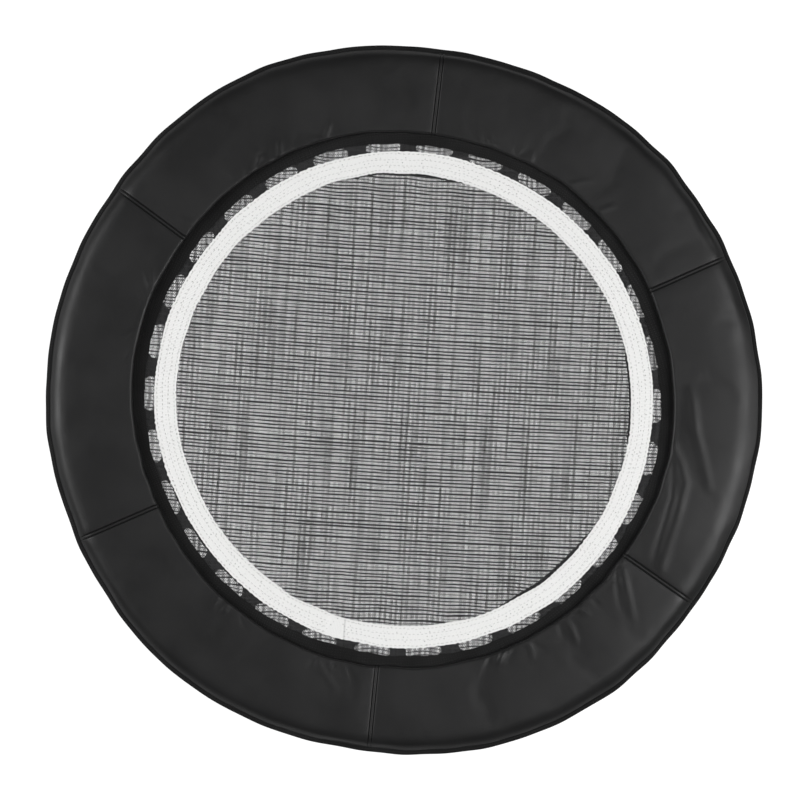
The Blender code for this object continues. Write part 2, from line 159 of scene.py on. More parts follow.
class Finishes(bpy.types.PropertyGroup):
    """Colours of the finishes."""

    vinyl: colour("Vinyl", "Black vinyl of the padded cover", (0.0075, 0.0075, 0.0077))
    mesh: colour("Mesh", "Threads of the mat", (0.022, 0.022, 0.023))
    white_webbing: colour("White webbing", "The band sewn on the mat", (0.87, 0.87, 0.86))
    black_webbing: colour("Black webbing", "Tabs, tapes and straps", (0.0108, 0.0108, 0.011))
    lining: colour("Lining", "Cloth under the padded cover", (0.03, 0.03, 0.031))
    powder_coat: colour("Powder coat", "Paint of the ring and the legs", (0.02, 0.02, 0.021))
    zinc: colour("Zinc", "Plated spring wire", (0.58, 0.58, 0.6))
    plastic: colour("Plastic", "Moulded saddles", (0.02, 0.02, 0.02))
    rubber: colour("Rubber", "Feet", (0.014, 0.014, 0.014))
    dust: colour("Dust", "Lint and dust that settle on every finish", (0.25, 0.24, 0.22))


# Surfaces --------------------------------------------------------------------------------------


class Shape(NamedTuple):
    """Points, four-cornered faces, and each corner's place on the flat material in metres."""

    points: np.ndarray
    faces: np.ndarray
    flat: np.ndarray


def unit(vectors):
    return vectors / np.linalg.norm(vectors, axis=-1, keepdims=True)


def bell(distance, half_width, power=2):
    """1 at no distance, falling to 1/e at the half width; a higher power has a flatter top."""
    return np.exp(-((distance / half_width) ** power))


def smooth_step(values, low, high):
    share = np.clip((values - low) / (high - low), 0, 1)
    return share * share * (3 - 2 * share)


def wrapped(angles, period=TURN):
    """The angles carried by whole periods to within half a period of zero."""
    return np.mod(angles + period / 2, period) - period / 2


def round_angles(first, count):
    """Bearings of a count of places spaced evenly round the ring."""
    return first + TURN / count * np.arange(count)


def wander(angles, seed, size, lowest=2, highest=40):
    """A smooth closed drift: cosines of whole frequencies, weaker as they rise, seeded in phase."""
    waves = np.arange(lowest, highest)
    phase = np.random.default_rng(seed).uniform(0, TURN, len(waves))
    strength = 1 / np.sqrt(waves)
    drift = np.cos(np.asarray(angles)[..., None] * waves + phase) @ strength
    return size * drift / np.sqrt(np.sum(strength**2) / 2)


def drawn(angles, terms):
    """How far a sewn edge is drawn off its circle: the sum of size cos(order (angle - bearing))."""
    return sum(size * np.cos(order * (angles - math.radians(at))) for order, size, at in terms)


def square_to_circle(u, v):
    """Each place's larger side, and that over its distance, which scales squares to circles."""
    larger = np.maximum(np.abs(u), np.abs(v))
    return larger, larger / np.maximum(np.hypot(u, v), TINY)


def run_lengths(points):
    """How far each row of a grid lies from the first along the surface, on average."""
    steps = np.linalg.norm(np.diff(points, axis=0), axis=-1).mean(axis=1)
    return np.concatenate(([0.0], np.cumsum(steps)))


def numbered(rows, columns):
    return np.arange(rows * columns).reshape(rows, columns)


def quads(index):
    """The face between each four neighbours of a grid of point numbers."""
    corners = (index[:-1, :-1], index[1:, :-1], index[1:, 1:], index[:-1, 1:])
    return np.stack(corners, -1).reshape(-1, 4)


def grid(points, flat=None):
    """A face between each four neighbours of a grid of points.

    A face looks along (step to the next row) x (step to the next column). The flat place of a
    point is its run along the rows and along the columns, unless it is given.
    """
    if flat is None:
        runs = run_lengths(points), run_lengths(points.swapaxes(0, 1))
        flat = np.stack(np.meshgrid(*runs, indexing="ij"), -1)
    faces = quads(numbered(*points.shape[:2]))
    return Shape(points.reshape(-1, 3), faces, flat.reshape(-1, 2)[faces])


def closed_grid(points):
    """A grid whose last row and column meet its first."""
    return grid(np.pad(points, ((0, 1), (0, 1), (0, 0)), mode="wrap"))


def capped(points, middles):
    """A grid closed at its first and last rows by drawing each in to its middle."""
    ends = np.broadcast_to(middles[[0, -1], None], (2, *points.shape[1:]))
    return grid(np.concatenate((ends[:1], points, ends[1:])))


def joined(*shapes):
    """Several shapes as one."""
    starts = np.cumsum([0] + [len(s.points) for s in shapes[:-1]])
    return Shape(
        np.concatenate([s.points for s in shapes]),
        np.concatenate([s.faces + start for s, start in zip(shapes, starts)]),
        np.concatenate([s.flat for s in shapes]),
    )


def repeated(faces, points, copies):
    """One copy's faces for each of several copies that have this many points."""
    return (faces + points * np.arange(copies)[:, None, None]).reshape(-1, 4)


def turned_copies(shape, angles):
    """The shape once at each angle about the upright axis through the centre."""
    cos, sin = np.cos(angles).reshape(-1, 1), np.sin(angles).reshape(-1, 1)
    x, y, z = shape.points.T
    points = np.stack(np.broadcast_arrays(cos * x - sin * y, sin * x + cos * y, z), -1)
    faces = repeated(shape.faces, len(x), len(cos))
    return Shape(points.reshape(-1, 3), faces, np.tile(shape.flat, (len(cos), 1, 1)))


def moved(shape, offset):
    return shape._replace(points=shape.points + np.asarray(offset, float))


def ring_points(angles, radii, heights):
    """Points (radius cos angle, radius sin angle, height).

    In a grid of them, a section that runs up on its outer side and inwards on top faces outwards.
    """
    angles, radii, heights = np.broadcast_arrays(angles, radii, heights)
    return np.stack((radii * np.cos(angles), radii * np.sin(angles), heights), -1)


def lathe(profile, sides=48):
    """A closed (radius, height) profile turned once about the upright axis."""
    radii, heights = np.asarray(profile, float).T
    return grid(ring_points(np.linspace(0, TURN, sides + 1)[:, None], radii, heights))


def thickened(radii, heights, thickness):
    """A closed section from a centre line: half the thickness on its right, then on its left."""
    radii, heights = np.broadcast_arrays(np.atleast_2d(radii), np.atleast_2d(heights))
    step_r, step_z = np.gradient(radii, axis=1), np.gradient(heights, axis=1)
    half = thickness / 2 / np.hypot(step_r, step_z)

    def closed(line, out):
        return np.concatenate((line + out, (line - out)[:, ::-1], (line + out)[:, :1]), axis=1)

    return closed(radii, step_z * half), closed(heights, -step_r * half)


def ring_strip(angles, radii, heights, thickness):
    """A thickened centre line carried round the ring."""
    return grid(ring_points(angles, *thickened(radii, heights, thickness)))


def round_profile(radius, sides):
    """A circle as (out, side) points, its first point repeated at the end."""
    turn = np.linspace(0, TURN, sides + 1)
    return radius * np.stack((np.cos(turn), np.sin(turn)), -1)


def strip_profile(thickness, width, corner=0.3):
    """A flat strip with rounded edges: a circle to a power, scaled to the strip's half sizes."""
    round_side = round_profile(1.0, 20)
    return np.sign(round_side) * np.abs(round_side) ** corner * (thickness / 2, width / 2)


def swept(path, reference, profile, closed=False, widths=1.0):
    """A profile carried along a path.

    At each path point, out is the reference made square to the path and side is out x (along the
    path), scaled by that point's width. An open path's ends are drawn in to a point.
    """
    if closed:
        along = unit(np.roll(path, -1, axis=0) - np.roll(path, 1, axis=0))
    else:
        along = unit(np.gradient(path, axis=0))
    reference = np.broadcast_to(np.asarray(reference, float), path.shape)
    out = unit(reference - np.sum(reference * along, axis=-1, keepdims=True) * along)
    side = np.cross(out, along) * np.reshape(widths, (-1, 1))
    points = path[:, None] + profile[:, :1] * out[:, None] + profile[:, 1:] * side[:, None]
    if closed:
        return grid(np.concatenate((points, points[:1])))
    return capped(points, path)


def upright(path, height=0.0):
    """An (x, z) path as points in the upright plane through +X, raised by the height."""
    x, z = path.T
    return np.stack((x, 0 * x, z + height), -1)


def upright_strip(path, height, thickness, width, widths=1.0):
    """A flat strip carried along an upright path, with its thickness across the path."""
    path = upright(path, height)
    outward = np.cross((0.0, -1.0, 0.0), unit(np.gradient(path, axis=0)))
    return swept(path, outward, strip_profile(thickness, width), widths=widths)


def stitches(middles, along, up, reach, radius):
    """A spindle of thread for each middle: its radius is a power of the cosine of its run."""
    share = np.linspace(-1, 1, 5)
    turn = np.linspace(0, TURN, 7)[:, None, None]
    along, up = unit(along), unit(up)
    swell = radius * np.cos(share * math.pi / 2) ** 0.6
    swell[[0, -1]] = 0.0
    lift = (np.cos(turn) * up + np.sin(turn) * np.cross(up, along))[:, None]
    run = share[:, None, None] * reach / 2 * along
    points = np.moveaxis(middles + run + swell[:, None, None] * lift, 2, 0).swapaxes(1, 2)
    count, rows, columns = points.shape[:3]
    faces = repeated(quads(numbered(rows, columns))[:, [0, 3, 2, 1]], rows * columns, count)
    return Shape(points.reshape(-1, 3), faces, np.zeros((len(faces), 4, 2)))


def ring_stitches(angles, radii, heights, reach, radius):
    """Stitches that lie along the ring."""
    middles = ring_points(angles, radii, heights)
    along = ring_points(angles + TURN / 4, 1.0, 0.0)
    up = np.broadcast_to((0.0, 0.0, 1.0), along.shape)
    return stitches(middles, along, up, reach, radius)


def add_piece(name, shape, finish, body=None, slot=None, replaces=(), sharp=None):
    """Makes a mesh object from a shape, with coincident points merged to close seams and poles."""
    mesh = bpy.data.meshes.new(name)
    mesh.from_pydata(shape.points.tolist(), [], shape.faces.tolist())
    mesh.uv_layers.new(name="flat").data.foreach_set("uv", shape.flat.ravel())
    shell = bmesh.new()
    shell.from_mesh(mesh)
    bmesh.ops.remove_doubles(shell, verts=shell.verts, dist=SAME_PLACE)
    shell.to_mesh(mesh)
    shell.free()
    mesh.polygons.foreach_set("use_smooth", np.ones(len(mesh.polygons), bool))
    if sharp:
        mesh.set_sharp_from_angle(angle=math.radians(sharp))
    mesh.materials.append(bpy.data.materials[finish])
    piece = bpy.data.objects.new(name, mesh)
    bpy.context.scene.collection.objects.link(piece)
    if body:
        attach(piece, body)
    if replaces:
        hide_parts(*replaces)
    return piece


# Finishes --------------------------------------------------------------------------------------


class NodeTree:
    """Adds nodes to one tree and links their sockets."""

    def __init__(self, tree):
        self.tree = tree

    def put(self, socket, value):
        if isinstance(value, bpy.types.NodeSocket):
            self.tree.links.new(value, socket)
        else:
            socket.default_value = value

    def add(self, kind, inputs=None, **settings):
        node = self.tree.nodes.new("ShaderNode" + kind)
        for name, value in settings.items():
            setattr(node, name, value)
        for name, value in (inputs or {}).items():
            self.put(node.inputs[name], value)
        return node

    def math(self, operation, *values, clamp=False):
        inputs = dict(enumerate(values))
        return self.add("Math", inputs, operation=operation, use_clamp=clamp).outputs[0]

    def fit(self, value, low, high, to_low=0.0, to_high=1.0):
        """The value's place from low to high, carried to the other range and held inside it."""
        ends = {"From Min": low, "From Max": high, "To Min": to_low, "To Max": to_high}
        return self.add("MapRange", {"Value": value, **ends}).outputs["Result"]

    def mix(self, factor, first, second):
        inputs = {0: factor, 6: first, 7: second}
        return self.add("Mix", inputs, data_type="RGBA").outputs[2]

    def noise(self, vector, scale, detail=3.0):
        inputs = {"Vector": vector, "Scale": scale, "Detail": detail}
        return self.add("TexNoise", inputs).outputs["Fac"]

    def wave(self, value, period):
        """A cosine of the value with this period, from -1 to 1."""
        return self.math("COSINE", self.math("MULTIPLY", value, TURN / period))

    def total(self, start, *terms):
        """A starting value plus each term times its size."""
        for size, term in terms:
            start = self.math("ADD", start, self.math("MULTIPLY", term, size))
        return start

    def bump(self, height, distance):
        return self.add("Bump", {"Height": height, "Distance": distance}).outputs["Normal"]

    def group(self, name, **inputs):
        node = self.add("Group", node_tree=bpy.data.node_groups[name])
        for socket, value in inputs.items():
            self.put(node.inputs[socket.capitalize()], value)
        return node.outputs


def new_group(name, inputs, outputs):
    """An empty node group; inputs and outputs pair each socket's name with its kind."""
    tree = bpy.data.node_groups.new(name, "ShaderNodeTree")
    for in_out, sockets in (("INPUT", inputs), ("OUTPUT", outputs)):
        for socket, kind in sockets.items():
            tree.interface.new_socket(
                name=socket, in_out=in_out, socket_type="NodeSocket" + kind
            )
    given, result = tree.nodes.new("NodeGroupInput"), tree.nodes.new("NodeGroupOutput")
    return NodeTree(tree), given.outputs, result.inputs


def make_weave_group():
    """Crossed threads: the product of a cosine along the cloth and one across it."""
    nodes, given, result = new_group(
        "crossed_threads",
        {"Place": "Vector", "Along": "Float", "Across": "Float"},
        {"Height": "Float", "Shade": "Float"},
    )
    drift = nodes.noise(given["Place"], 90.0, 2.0)
    place = nodes.add("SeparateXYZ", {"Vector": given["Place"]}).outputs
    waves = []
    for axis, pitch in (("X", "Along"), ("Y", "Across")):
        thread = nodes.math("ADD", nodes.math("DIVIDE", place[axis], given[pitch]), drift)
        waves.append(nodes.wave(thread, 2.0))
    threads = nodes.math("MULTIPLY", *waves)
    nodes.put(result["Height"], nodes.math("ABSOLUTE", threads))
    # Shade is high where one thread of a crossing lies on top and low where the other does;
    # cloth_material paints it as light and shade
    nodes.put(result["Shade"], nodes.fit(threads, -1.0, 1.0))


def make_grain_group():
    """A pebbled skin: the distance to the nearest cell edge, levelled off, under a finer noise."""
    nodes, given, result = new_group(
        "pebbled_skin",
        {"Place": "Vector", "Cells": "Float"},
        {"Height": "Float", "Blotch": "Float"},
    )
    place, cells = given["Place"], given["Cells"]
    warp = nodes.add("TexNoise", {"Vector": place, "Scale": cells, "Detail": 2.0}).outputs["Color"]
    shift = nodes.add("VectorMath", {0: warp, 1: (0.0012,) * 3}, operation="MULTIPLY").outputs[0]
    bent = nodes.add("VectorMath", {0: place, 1: shift}, operation="ADD").outputs[0]
    edges = nodes.add("TexVoronoi", {"Vector": bent, "Scale": cells}, feature="DISTANCE_TO_EDGE")
    pebble = nodes.fit(edges.outputs["Distance"], 0.0, 0.35)
    fine = nodes.noise(place, nodes.math("MULTIPLY", cells, 2.7), 2.0)
    nodes.put(result["Height"], nodes.total(pebble, (0.4, fine)))
    nodes.put(result["Blotch"], nodes.noise(place, 9.0, 4.0))


def make_handling_group():
    """Dust and rubbing: two scales of noise choose where dust lightens the colour and dulls it."""
    nodes, given, result = new_group(
        "dust_and_rubbing",
        {
            "Place": "Vector", "Colour": "Color", "Dust": "Color",
            "Amount": "Float", "Gloss": "Float",
        },
        {"Colour": "Color", "Roughness": "Float"},
    )
    cloudy = nodes.fit(nodes.noise(given["Place"], 14.0, 5.0), 0.38, 0.72)
    specks = nodes.fit(nodes.noise(given["Place"], 420.0, 2.0), 0.62, 0.74)
    dusty = nodes.total(nodes.math("MULTIPLY", cloudy, 0.55), (0.45, specks))
    share = nodes.math("MULTIPLY", dusty, given["Amount"], clamp=True)
    nodes.put(result["Colour"], nodes.mix(share, given["Colour"], given["Dust"]))
    rough = nodes.total(given["Gloss"], (0.12, nodes.math("SUBTRACT", cloudy, 0.5)), (0.5, share))
    nodes.put(result["Roughness"], nodes.math("MINIMUM", rough, 1.0, clamp=True))


def tone(base, share):
    """A colour made lighter or darker, held at white."""
    return tuple(min(1.0, share * c) for c in base[:3]) + (1.0,)


def new_material(name):
    """Makes a material; gives its nodes, its Principled shader and its coordinates."""
    material = bpy.data.materials.new(name)
    material.use_nodes = True
    nodes = NodeTree(material.node_tree)
    shader = material.node_tree.nodes["Principled BSDF"]
    return nodes, shader, nodes.add("TexCoord").outputs


def surface(nodes, shader, place, height, depth, constants, **worn):
    """Colour and roughness from dust and rubbing, bumps of this depth, and the constants."""
    worn = nodes.group("dust_and_rubbing", place=place["Object"], **worn)
    nodes.put(shader.inputs["Base Color"], worn["Colour"])
    nodes.put(shader.inputs["Roughness"], worn["Roughness"])
    nodes.put(shader.inputs["Normal"], nodes.bump(height, depth))
    for socket, value in constants.items():
        shader.inputs[socket.replace("_", " ")].default_value = value


def skin_material(name, base, dust, cells, depth, gloss, amount, **constants):
    """A moulded, coated or painted skin: pebbled height, blotchy colour, dust."""
    nodes, shader, place = new_material(name)
    grain = nodes.group("pebbled_skin", place=place["Object"], cells=cells)
    shade = nodes.mix(grain["Blotch"], tone(base, 0.75), tone(base, 1.35))
    worn = {"colour": shade, "dust": dust, "amount": amount, "gloss": gloss}
    surface(nodes, shader, place, grain["Height"], depth, constants, **worn)


def cloth_material(
    name, base, dust, pitch, depth, amount, turn=0, contrast=0.35, patchy=0.0, **constants
):
    """Woven cloth: crossed threads on the flat places, with painted light and shade: lighter on the
    threads' tops and where one thread of a crossing lies on top, darker between the threads; darker
    too in patches.
    """
    nodes, shader, place = new_material(name)
    turned = {"Vector": place["UV"], "Rotation": (0.0, 0.0, math.radians(turn))}
    flat = nodes.add("Mapping", turned).outputs["Vector"]
    weave = nodes.group("crossed_threads", place=flat, along=pitch, across=pitch)
    # Painted light and shade from the weave: high on the threads' tops and on crossings where one
    # thread lies on top, low between the threads
    lit = nodes.math("MULTIPLY", nodes.math("ADD", weave["Height"], weave["Shade"]), 0.5)
    patches = nodes.noise(place["Object"], 22.0, 2.0)
    patches = nodes.fit(patches, 0.35, 0.65, 1 - patchy, 1 + patchy)
    lit = nodes.math("MULTIPLY", lit, patches, clamp=True)
    shade = nodes.mix(lit, tone(base, 1 - contrast), tone(base, 1 + contrast / 2))
    worn = {"colour": shade, "dust": dust, "amount": amount, "gloss": 0.85}
    surface(nodes, shader, place, weave["Height"], depth, constants, **worn)


def thread_cover(nodes, place, pitch, half_width):
    """How far inside its nearest thread a place lies, in half widths; threads lie half way."""
    phase = nodes.math("FRACT", nodes.math("DIVIDE", place, pitch))
    apart = nodes.math("ABSOLUTE", nodes.math("SUBTRACT", phase, 0.5))
    apart = nodes.math("MULTIPLY", apart, pitch)
    return nodes.math("SUBTRACT", 1.0, nodes.math("DIVIDE", apart, half_width))


def band_material(name, base, dust, width, rows=5, pitch=0.0064):
    """White webbing with rows of needle marks across its width, each mark painted dark as the shade
    in its needle hole.

    A mark lies where a row and a stitch place cross; each row's places are shifted, and noise
    drops some marks.
    """
    nodes, shader, place = new_material(name)
    flat = nodes.add("SeparateXYZ", {"Vector": place["UV"]}).outputs
    weave = nodes.group("crossed_threads", place=place["UV"], along=0.0021, across=0.0011)
    # Painted shade: the webbing is darker between its threads
    woven = nodes.mix(weave["Height"], tone(base, 0.93), tone(base, 1.0))
    wobble = nodes.math("SUBTRACT", nodes.noise(place["UV"], 45.0, 2.0), 0.5)
    across = nodes.total(flat["Y"], (0.0016, wobble))
    row_number = nodes.math("FLOOR", nodes.math("DIVIDE", across, width / rows))
    along = nodes.total(flat["X"], (0.0023, row_number), (0.004, wobble))
    crossing = nodes.math(
        "MINIMUM",
        thread_cover(nodes, across, width / rows, 0.00045),
        thread_cover(nodes, along, pitch, 0.00055),
    )
    kept = nodes.fit(nodes.noise(place["UV"], 260.0, 1.0), 0.5, 0.6)
    marks = nodes.math("MULTIPLY", nodes.fit(crossing, -0.3, 0.3), kept)
    height = nodes.total(weave["Height"], (-2.0, marks))
    # Painted shade: the needle marks are darkened to a fifth of the webbing's colour
    shade = nodes.mix(marks, woven, tone(base, 0.2))
    worn = {"colour": shade, "dust": dust, "amount": 0.02, "gloss": 0.85}
    surface(nodes, shader, place, height, 0.0002, {}, **worn)


def mesh_material(name, base, dust, sizes):
    """Open mesh: thick rows and thinner columns of thread on the flat places, clear in between.

    A thread covers a place that is nearer its middle than its half width. The half widths drift
    in slow waves and with noise that is drawn out along the threads, as in loose weaving.
    """
    nodes, shader, place = new_material(name)
    flat = nodes.add("SeparateXYZ", {"Vector": place["UV"]}).outputs

    def uneven(across, along, detail=2.0):
        """Noise from -0.5 to 0.5, this many lumps a metre across and along the flat cloth."""
        scaled = {"Vector": place["UV"], "Scale": (across, along, 1.0)}
        lumps = nodes.add("Mapping", scaled).outputs["Vector"]
        return nodes.math("SUBTRACT", nodes.noise(lumps, 1.0, detail), 0.5)

    uneven_row, uneven_column = uneven(28.0, 300.0), uneven(190.0, 7.0)
    lumps = uneven(420.0, 420.0, 1.0)
    x = nodes.total(flat["X"], (0.0008, uneven(150.0, 7.0)), (0.0006, uneven(420.0, 30.0)))
    y = nodes.total(flat["Y"], (0.0022, uneven(8.0, 30.0)), (0.0021, uneven(10.0, 230.0)))
    distance = nodes.add("VectorMath", {0: place["UV"]}, operation="LENGTH").outputs["Value"]
    stretched = nodes.fit(distance, 0.312, 0.324)
    row_half = nodes.total(
        0.00087,
        (-0.00022, stretched),
        (0.00028, nodes.wave(flat["Y"], 0.00797)),
        (0.00013, nodes.wave(flat["Y"], 0.0152)),
        (0.0012, uneven_row),
        (0.0005, lumps),
    )
    # Every other column goes over where its neighbours go under
    column_number = nodes.math("FLOOR", nodes.math("DIVIDE", x, sizes.column_pitch))
    over = nodes.math("MULTIPLY", nodes.wave(column_number, 2.0), nodes.wave(flat["Y"], 0.00367))
    column_half = nodes.total(
        0.00045,
        (0.00007, stretched),
        (0.0003, over),
        (0.00012, nodes.wave(flat["X"], 0.0069)),
        (0.0008, uneven_column),
        (0.0003, lumps),
    )
    row = thread_cover(nodes, y, sizes.row_pitch, row_half)
    column = thread_cover(nodes, x, sizes.column_pitch, column_half)
    inside = nodes.math("MAXIMUM", row, column)
    nodes.put(shader.inputs["Alpha"], nodes.fit(inside, -0.06, 0.06))
    shade = nodes.mix(nodes.math("ADD", 0.5, uneven_row), tone(base, 0.6), tone(base, 1.5))
    round_thread = nodes.math("SQRT", nodes.math("MAXIMUM", inside, 0.0))
    worn = {"colour": shade, "dust": dust, "amount": 0.05, "gloss": 0.7}
    surface(nodes, shader, place, round_thread, 0.0004, {"Specular IOR Level": 0.25}, **worn)


def metal_material(name, base, dust):
    """Bright plated wire: fine drawing marks in the roughness, some dull spots, a little dust."""
    nodes, shader, place = new_material(name)
    marks = nodes.noise(place["Object"], 900.0, 3.0)
    dull = nodes.fit(nodes.noise(place["Object"], 60.0, 4.0), 0.45, 0.75)
    shade, gloss = nodes.mix(dull, base, tone(base, 0.6)), nodes.fit(marks, 0.3, 0.7, 0.22, 0.42)
    worn = {"colour": shade, "dust": dust, "amount": 0.06, "gloss": gloss}
    surface(nodes, shader, place, marks, 0.00004, {"Metallic": 1.0}, **worn)


def make_materials(scene):
    """Builds the shared groups and every finish once; lengths are in metres."""
    make_weave_group()
    make_grain_group()
    make_handling_group()
    tones, mat = scene.trampoline_finishes, scene.trampoline_mat
    dust = tuple(tones.dust)
    tab, black_thread = tone(tones.black_webbing, 4.2), tone(tones.black_webbing, 0.5)
    # Name, colour, cells a metre, depth, roughness, dust, specular level
    for name, base, cells, depth, gloss, amount, specular in (
        ("grained_vinyl", tones.vinyl, 1500.0, 0.00003, 0.44, 0.006, 0.3),
        ("satin_powder_coat", tones.powder_coat, 800.0, 0.00005, 0.33, 0.03, 0.5),
        ("moulded_plastic", tones.plastic, 1400.0, 0.00006, 0.5, 0.03, 0.5),
        ("moulded_rubber", tones.rubber, 1100.0, 0.0001, 0.75, 0.08, 0.5),
        ("black_thread", black_thread, 2600.0, 0.00008, 0.8, 0.01, 0.1),
        # The white thread is darker than the band: partly dirt on the thread, partly painted shade
        # where its ends sink into the needle holes
        ("white_thread", tone(tones.white_webbing, 0.6), 2600.0, 0.00008, 0.7, 0.02, 0.5),
    ):
        skin_material(name, base, dust, cells, depth, gloss, amount, Specular_IOR_Level=specular)
    metal_material("plated_wire", tones.zinc, dust)
    mesh_material("open_mesh", tones.mesh, dust, mat)
    band_material("woven_white_band", tones.white_webbing, dust, mat.band_outer - mat.band_inner)
    cloth_material(
        "woven_black_tape", tones.black_webbing, dust, pitch=0.0024, depth=0.0003, amount=0.008,
        turn=40, contrast=0.85, patchy=0.3, Specular_IOR_Level=0.2,
    )
    cloth_material(
        "tab_webbing", tab, dust, pitch=0.0032, depth=0.0003, amount=0.03,
        turn=45, contrast=0.7, patchy=0.5, Specular_IOR_Level=0.15,
    )
    cloth_material(
        "woven_lining", tones.lining, dust, pitch=0.0014, depth=0.00015, amount=0.04,
        Specular_IOR_Level=0.2,
    )


# Ring, springs and legs ------------------------------------------------------------------------


def pitted_tube(sizes):
    """The bent tube: a circle turned about the centre, with a round pit for each spring's hook.

    The lines of the grid close in round each hook. A square of them is drawn to a circle by
    scaling each place by its larger side over its distance, and places inside the pit's radius go
    down by its depth. Places there are counted in pit radii.
    """
    lip, depth = 1.03, 0.003
    lines = np.array([-2.4, -1.6, -lip, -0.97, -0.5, 0.0, 0.5, 0.97, lip, 1.6, 2.4])
    far = lines[-1]
    hole_turn = sizes.hole_radius / (sizes.ring_radius - sizes.tube_radius)
    hole_roll = sizes.hole_radius / sizes.tube_radius
    gap = TURN / sizes.spring_count / hole_turn
    across = np.concatenate((lines, np.linspace(far, gap - far, 7)[1:-1]))
    turns = round_angles(sizes.first_spring, sizes.spring_count)[:, None] + across * hole_turn
    turns = np.append(turns, turns[0, 0] + TURN)[:, None]
    columns = np.append(np.tile(across, sizes.spring_count), across[0])
    rows = np.concatenate((lines, np.linspace(far, TURN / hole_roll - far, 30)[1:]))
    u, v = np.meshgrid(columns, np.append(rows[:-1], lines[0]), indexing="ij")
    larger, rounding = square_to_circle(u, v)
    scale = np.clip((far - larger) / (far - lip), 0, 1) * (rounding - 1)
    roll = math.pi + (rows + v * scale) * hole_roll
    reach = sizes.tube_radius - np.where(larger < 1.0, depth, 0.0)
    radii = sizes.ring_radius + reach * np.cos(roll)
    heights = sizes.ring_height + reach * np.sin(roll)
    return grid(ring_points(turns + u * scale * hole_turn, radii, heights))


def threaded_stud(sizes):
    """A stud under the tube: its radius follows (height / pitch - turn); its tip is bevelled."""
    rooted, thread_depth, bevel = 0.004, 0.0008, 0.0012
    under = sizes.ring_height - sizes.tube_radius
    top, bottom = under + rooted, under - sizes.stud_length
    heights = np.linspace(bottom, top, round((top - bottom) / sizes.thread_pitch * 6))
    turn = np.linspace(0, TURN, 19)[:, None]
    wave = np.abs(2 * np.mod(heights / sizes.thread_pitch - turn / TURN, 1) - 1)
    radii = sizes.stud_radius - np.maximum(thread_depth * wave, bevel - (heights - bottom))
    radii = np.concatenate((0 * turn, radii), axis=1)
    return grid(ring_points(turn, radii, np.append(bottom, heights)))


def spring_shape(sizes):
    """One spring along +X at the ring's height: wire carried along hook, coil and hook.

    The coil's radius grows from and falls to its axis over half a turn. The inner hook bends
    round the V-ring's tip in the upright plane, and the outer hook goes through the tube's wall
    and down.
    """
    gap, hook_start, hook_run, hook_bend, hook_drop = 0.0002, 0.002, 0.0031, 0.0024, 0.004
    bend = sizes.vee_wire + sizes.wire_radius + gap
    arc = np.radians(np.linspace(-60, 100, 15))
    round_tip = np.stack((sizes.vee_tip - bend * np.cos(arc), bend * np.sin(arc)), -1)
    ease = np.linspace(0, 1, 9)[1:-1]
    rise_x = round_tip[-1, 0] + ease * (sizes.coil_start - round_tip[-1, 0])
    rise = np.stack((rise_x, bend * np.cos(ease * math.pi / 2) ** 2), -1)
    inner = upright(np.concatenate((round_tip, rise)))

    turns = np.linspace(0, sizes.coil_turns, sizes.coil_turns * 14 + 1)
    grown = smooth_step(np.minimum(turns, sizes.coil_turns - turns), 0, 0.5)
    outward = np.stack((0 * turns, np.cos(TURN * turns), np.sin(TURN * turns)), -1)
    coil = (sizes.coil_radius - sizes.wire_radius) * grown[:, None] * outward
    coil[:, 0] = np.linspace(sizes.coil_start, sizes.coil_end, len(turns))

    wall = sizes.ring_radius - sizes.tube_radius
    corner = np.radians(np.linspace(90, 0, 6))
    run_x = np.linspace(sizes.coil_end + hook_start, wall + hook_start, 5)
    down_x = wall + hook_run + hook_bend * np.cos(corner)
    outer_x = np.concatenate((run_x, down_x, down_x[-1:]))
    outer_z = np.concatenate((0 * run_x, hook_bend * (np.sin(corner) - 1), [-hook_drop]))
    outer = upright(np.stack((outer_x, outer_z), -1))

    hook = np.array([[0.0, 1.0, 0.0]])
    reference = (hook.repeat(len(inner), 0), outward, hook.repeat(len(outer), 0))
    path, wire = np.concatenate((inner, coil, outer)), round_profile(sizes.wire_radius, 7)
    return moved(swept(path, np.concatenate(reference), wire), (0, 0, sizes.ring_height))


def rounded_loop(corners, times=3):
    """A closed loop, each corner cut at a quarter and three quarters of its sides, repeatedly."""
    for _ in range(times):
        after = np.roll(corners, -1, axis=0)
        cuts = (0.75 * corners + 0.25 * after, 0.25 * corners + 0.75 * after)
        corners = np.stack(cuts, 1).reshape(-1, 3)
    return corners


def vee_shape(sizes, tab_width):
    """A V-ring along +X: round wire along a loop of six rounded corners, flat at ring height."""
    play, shoulder, tip_half = 0.0006, 0.0051, 0.003
    half = tab_width / 2 + sizes.vee_wire + play
    bar, knee, tip = sizes.bar_radius, sizes.bar_radius + shoulder, sizes.vee_tip
    side = np.array([(bar, half, 0), (knee, half, 0), (tip, tip_half, 0)])
    mirrored = side[::-1] * (1, -1, 1)
    loop = rounded_loop(np.concatenate((mirrored[-1:], side, mirrored[:-1])))
    wire = round_profile(sizes.vee_wire, 8)
    return moved(swept(loop, (0, 0, 1), wire, closed=True), (0, 0, sizes.ring_height))


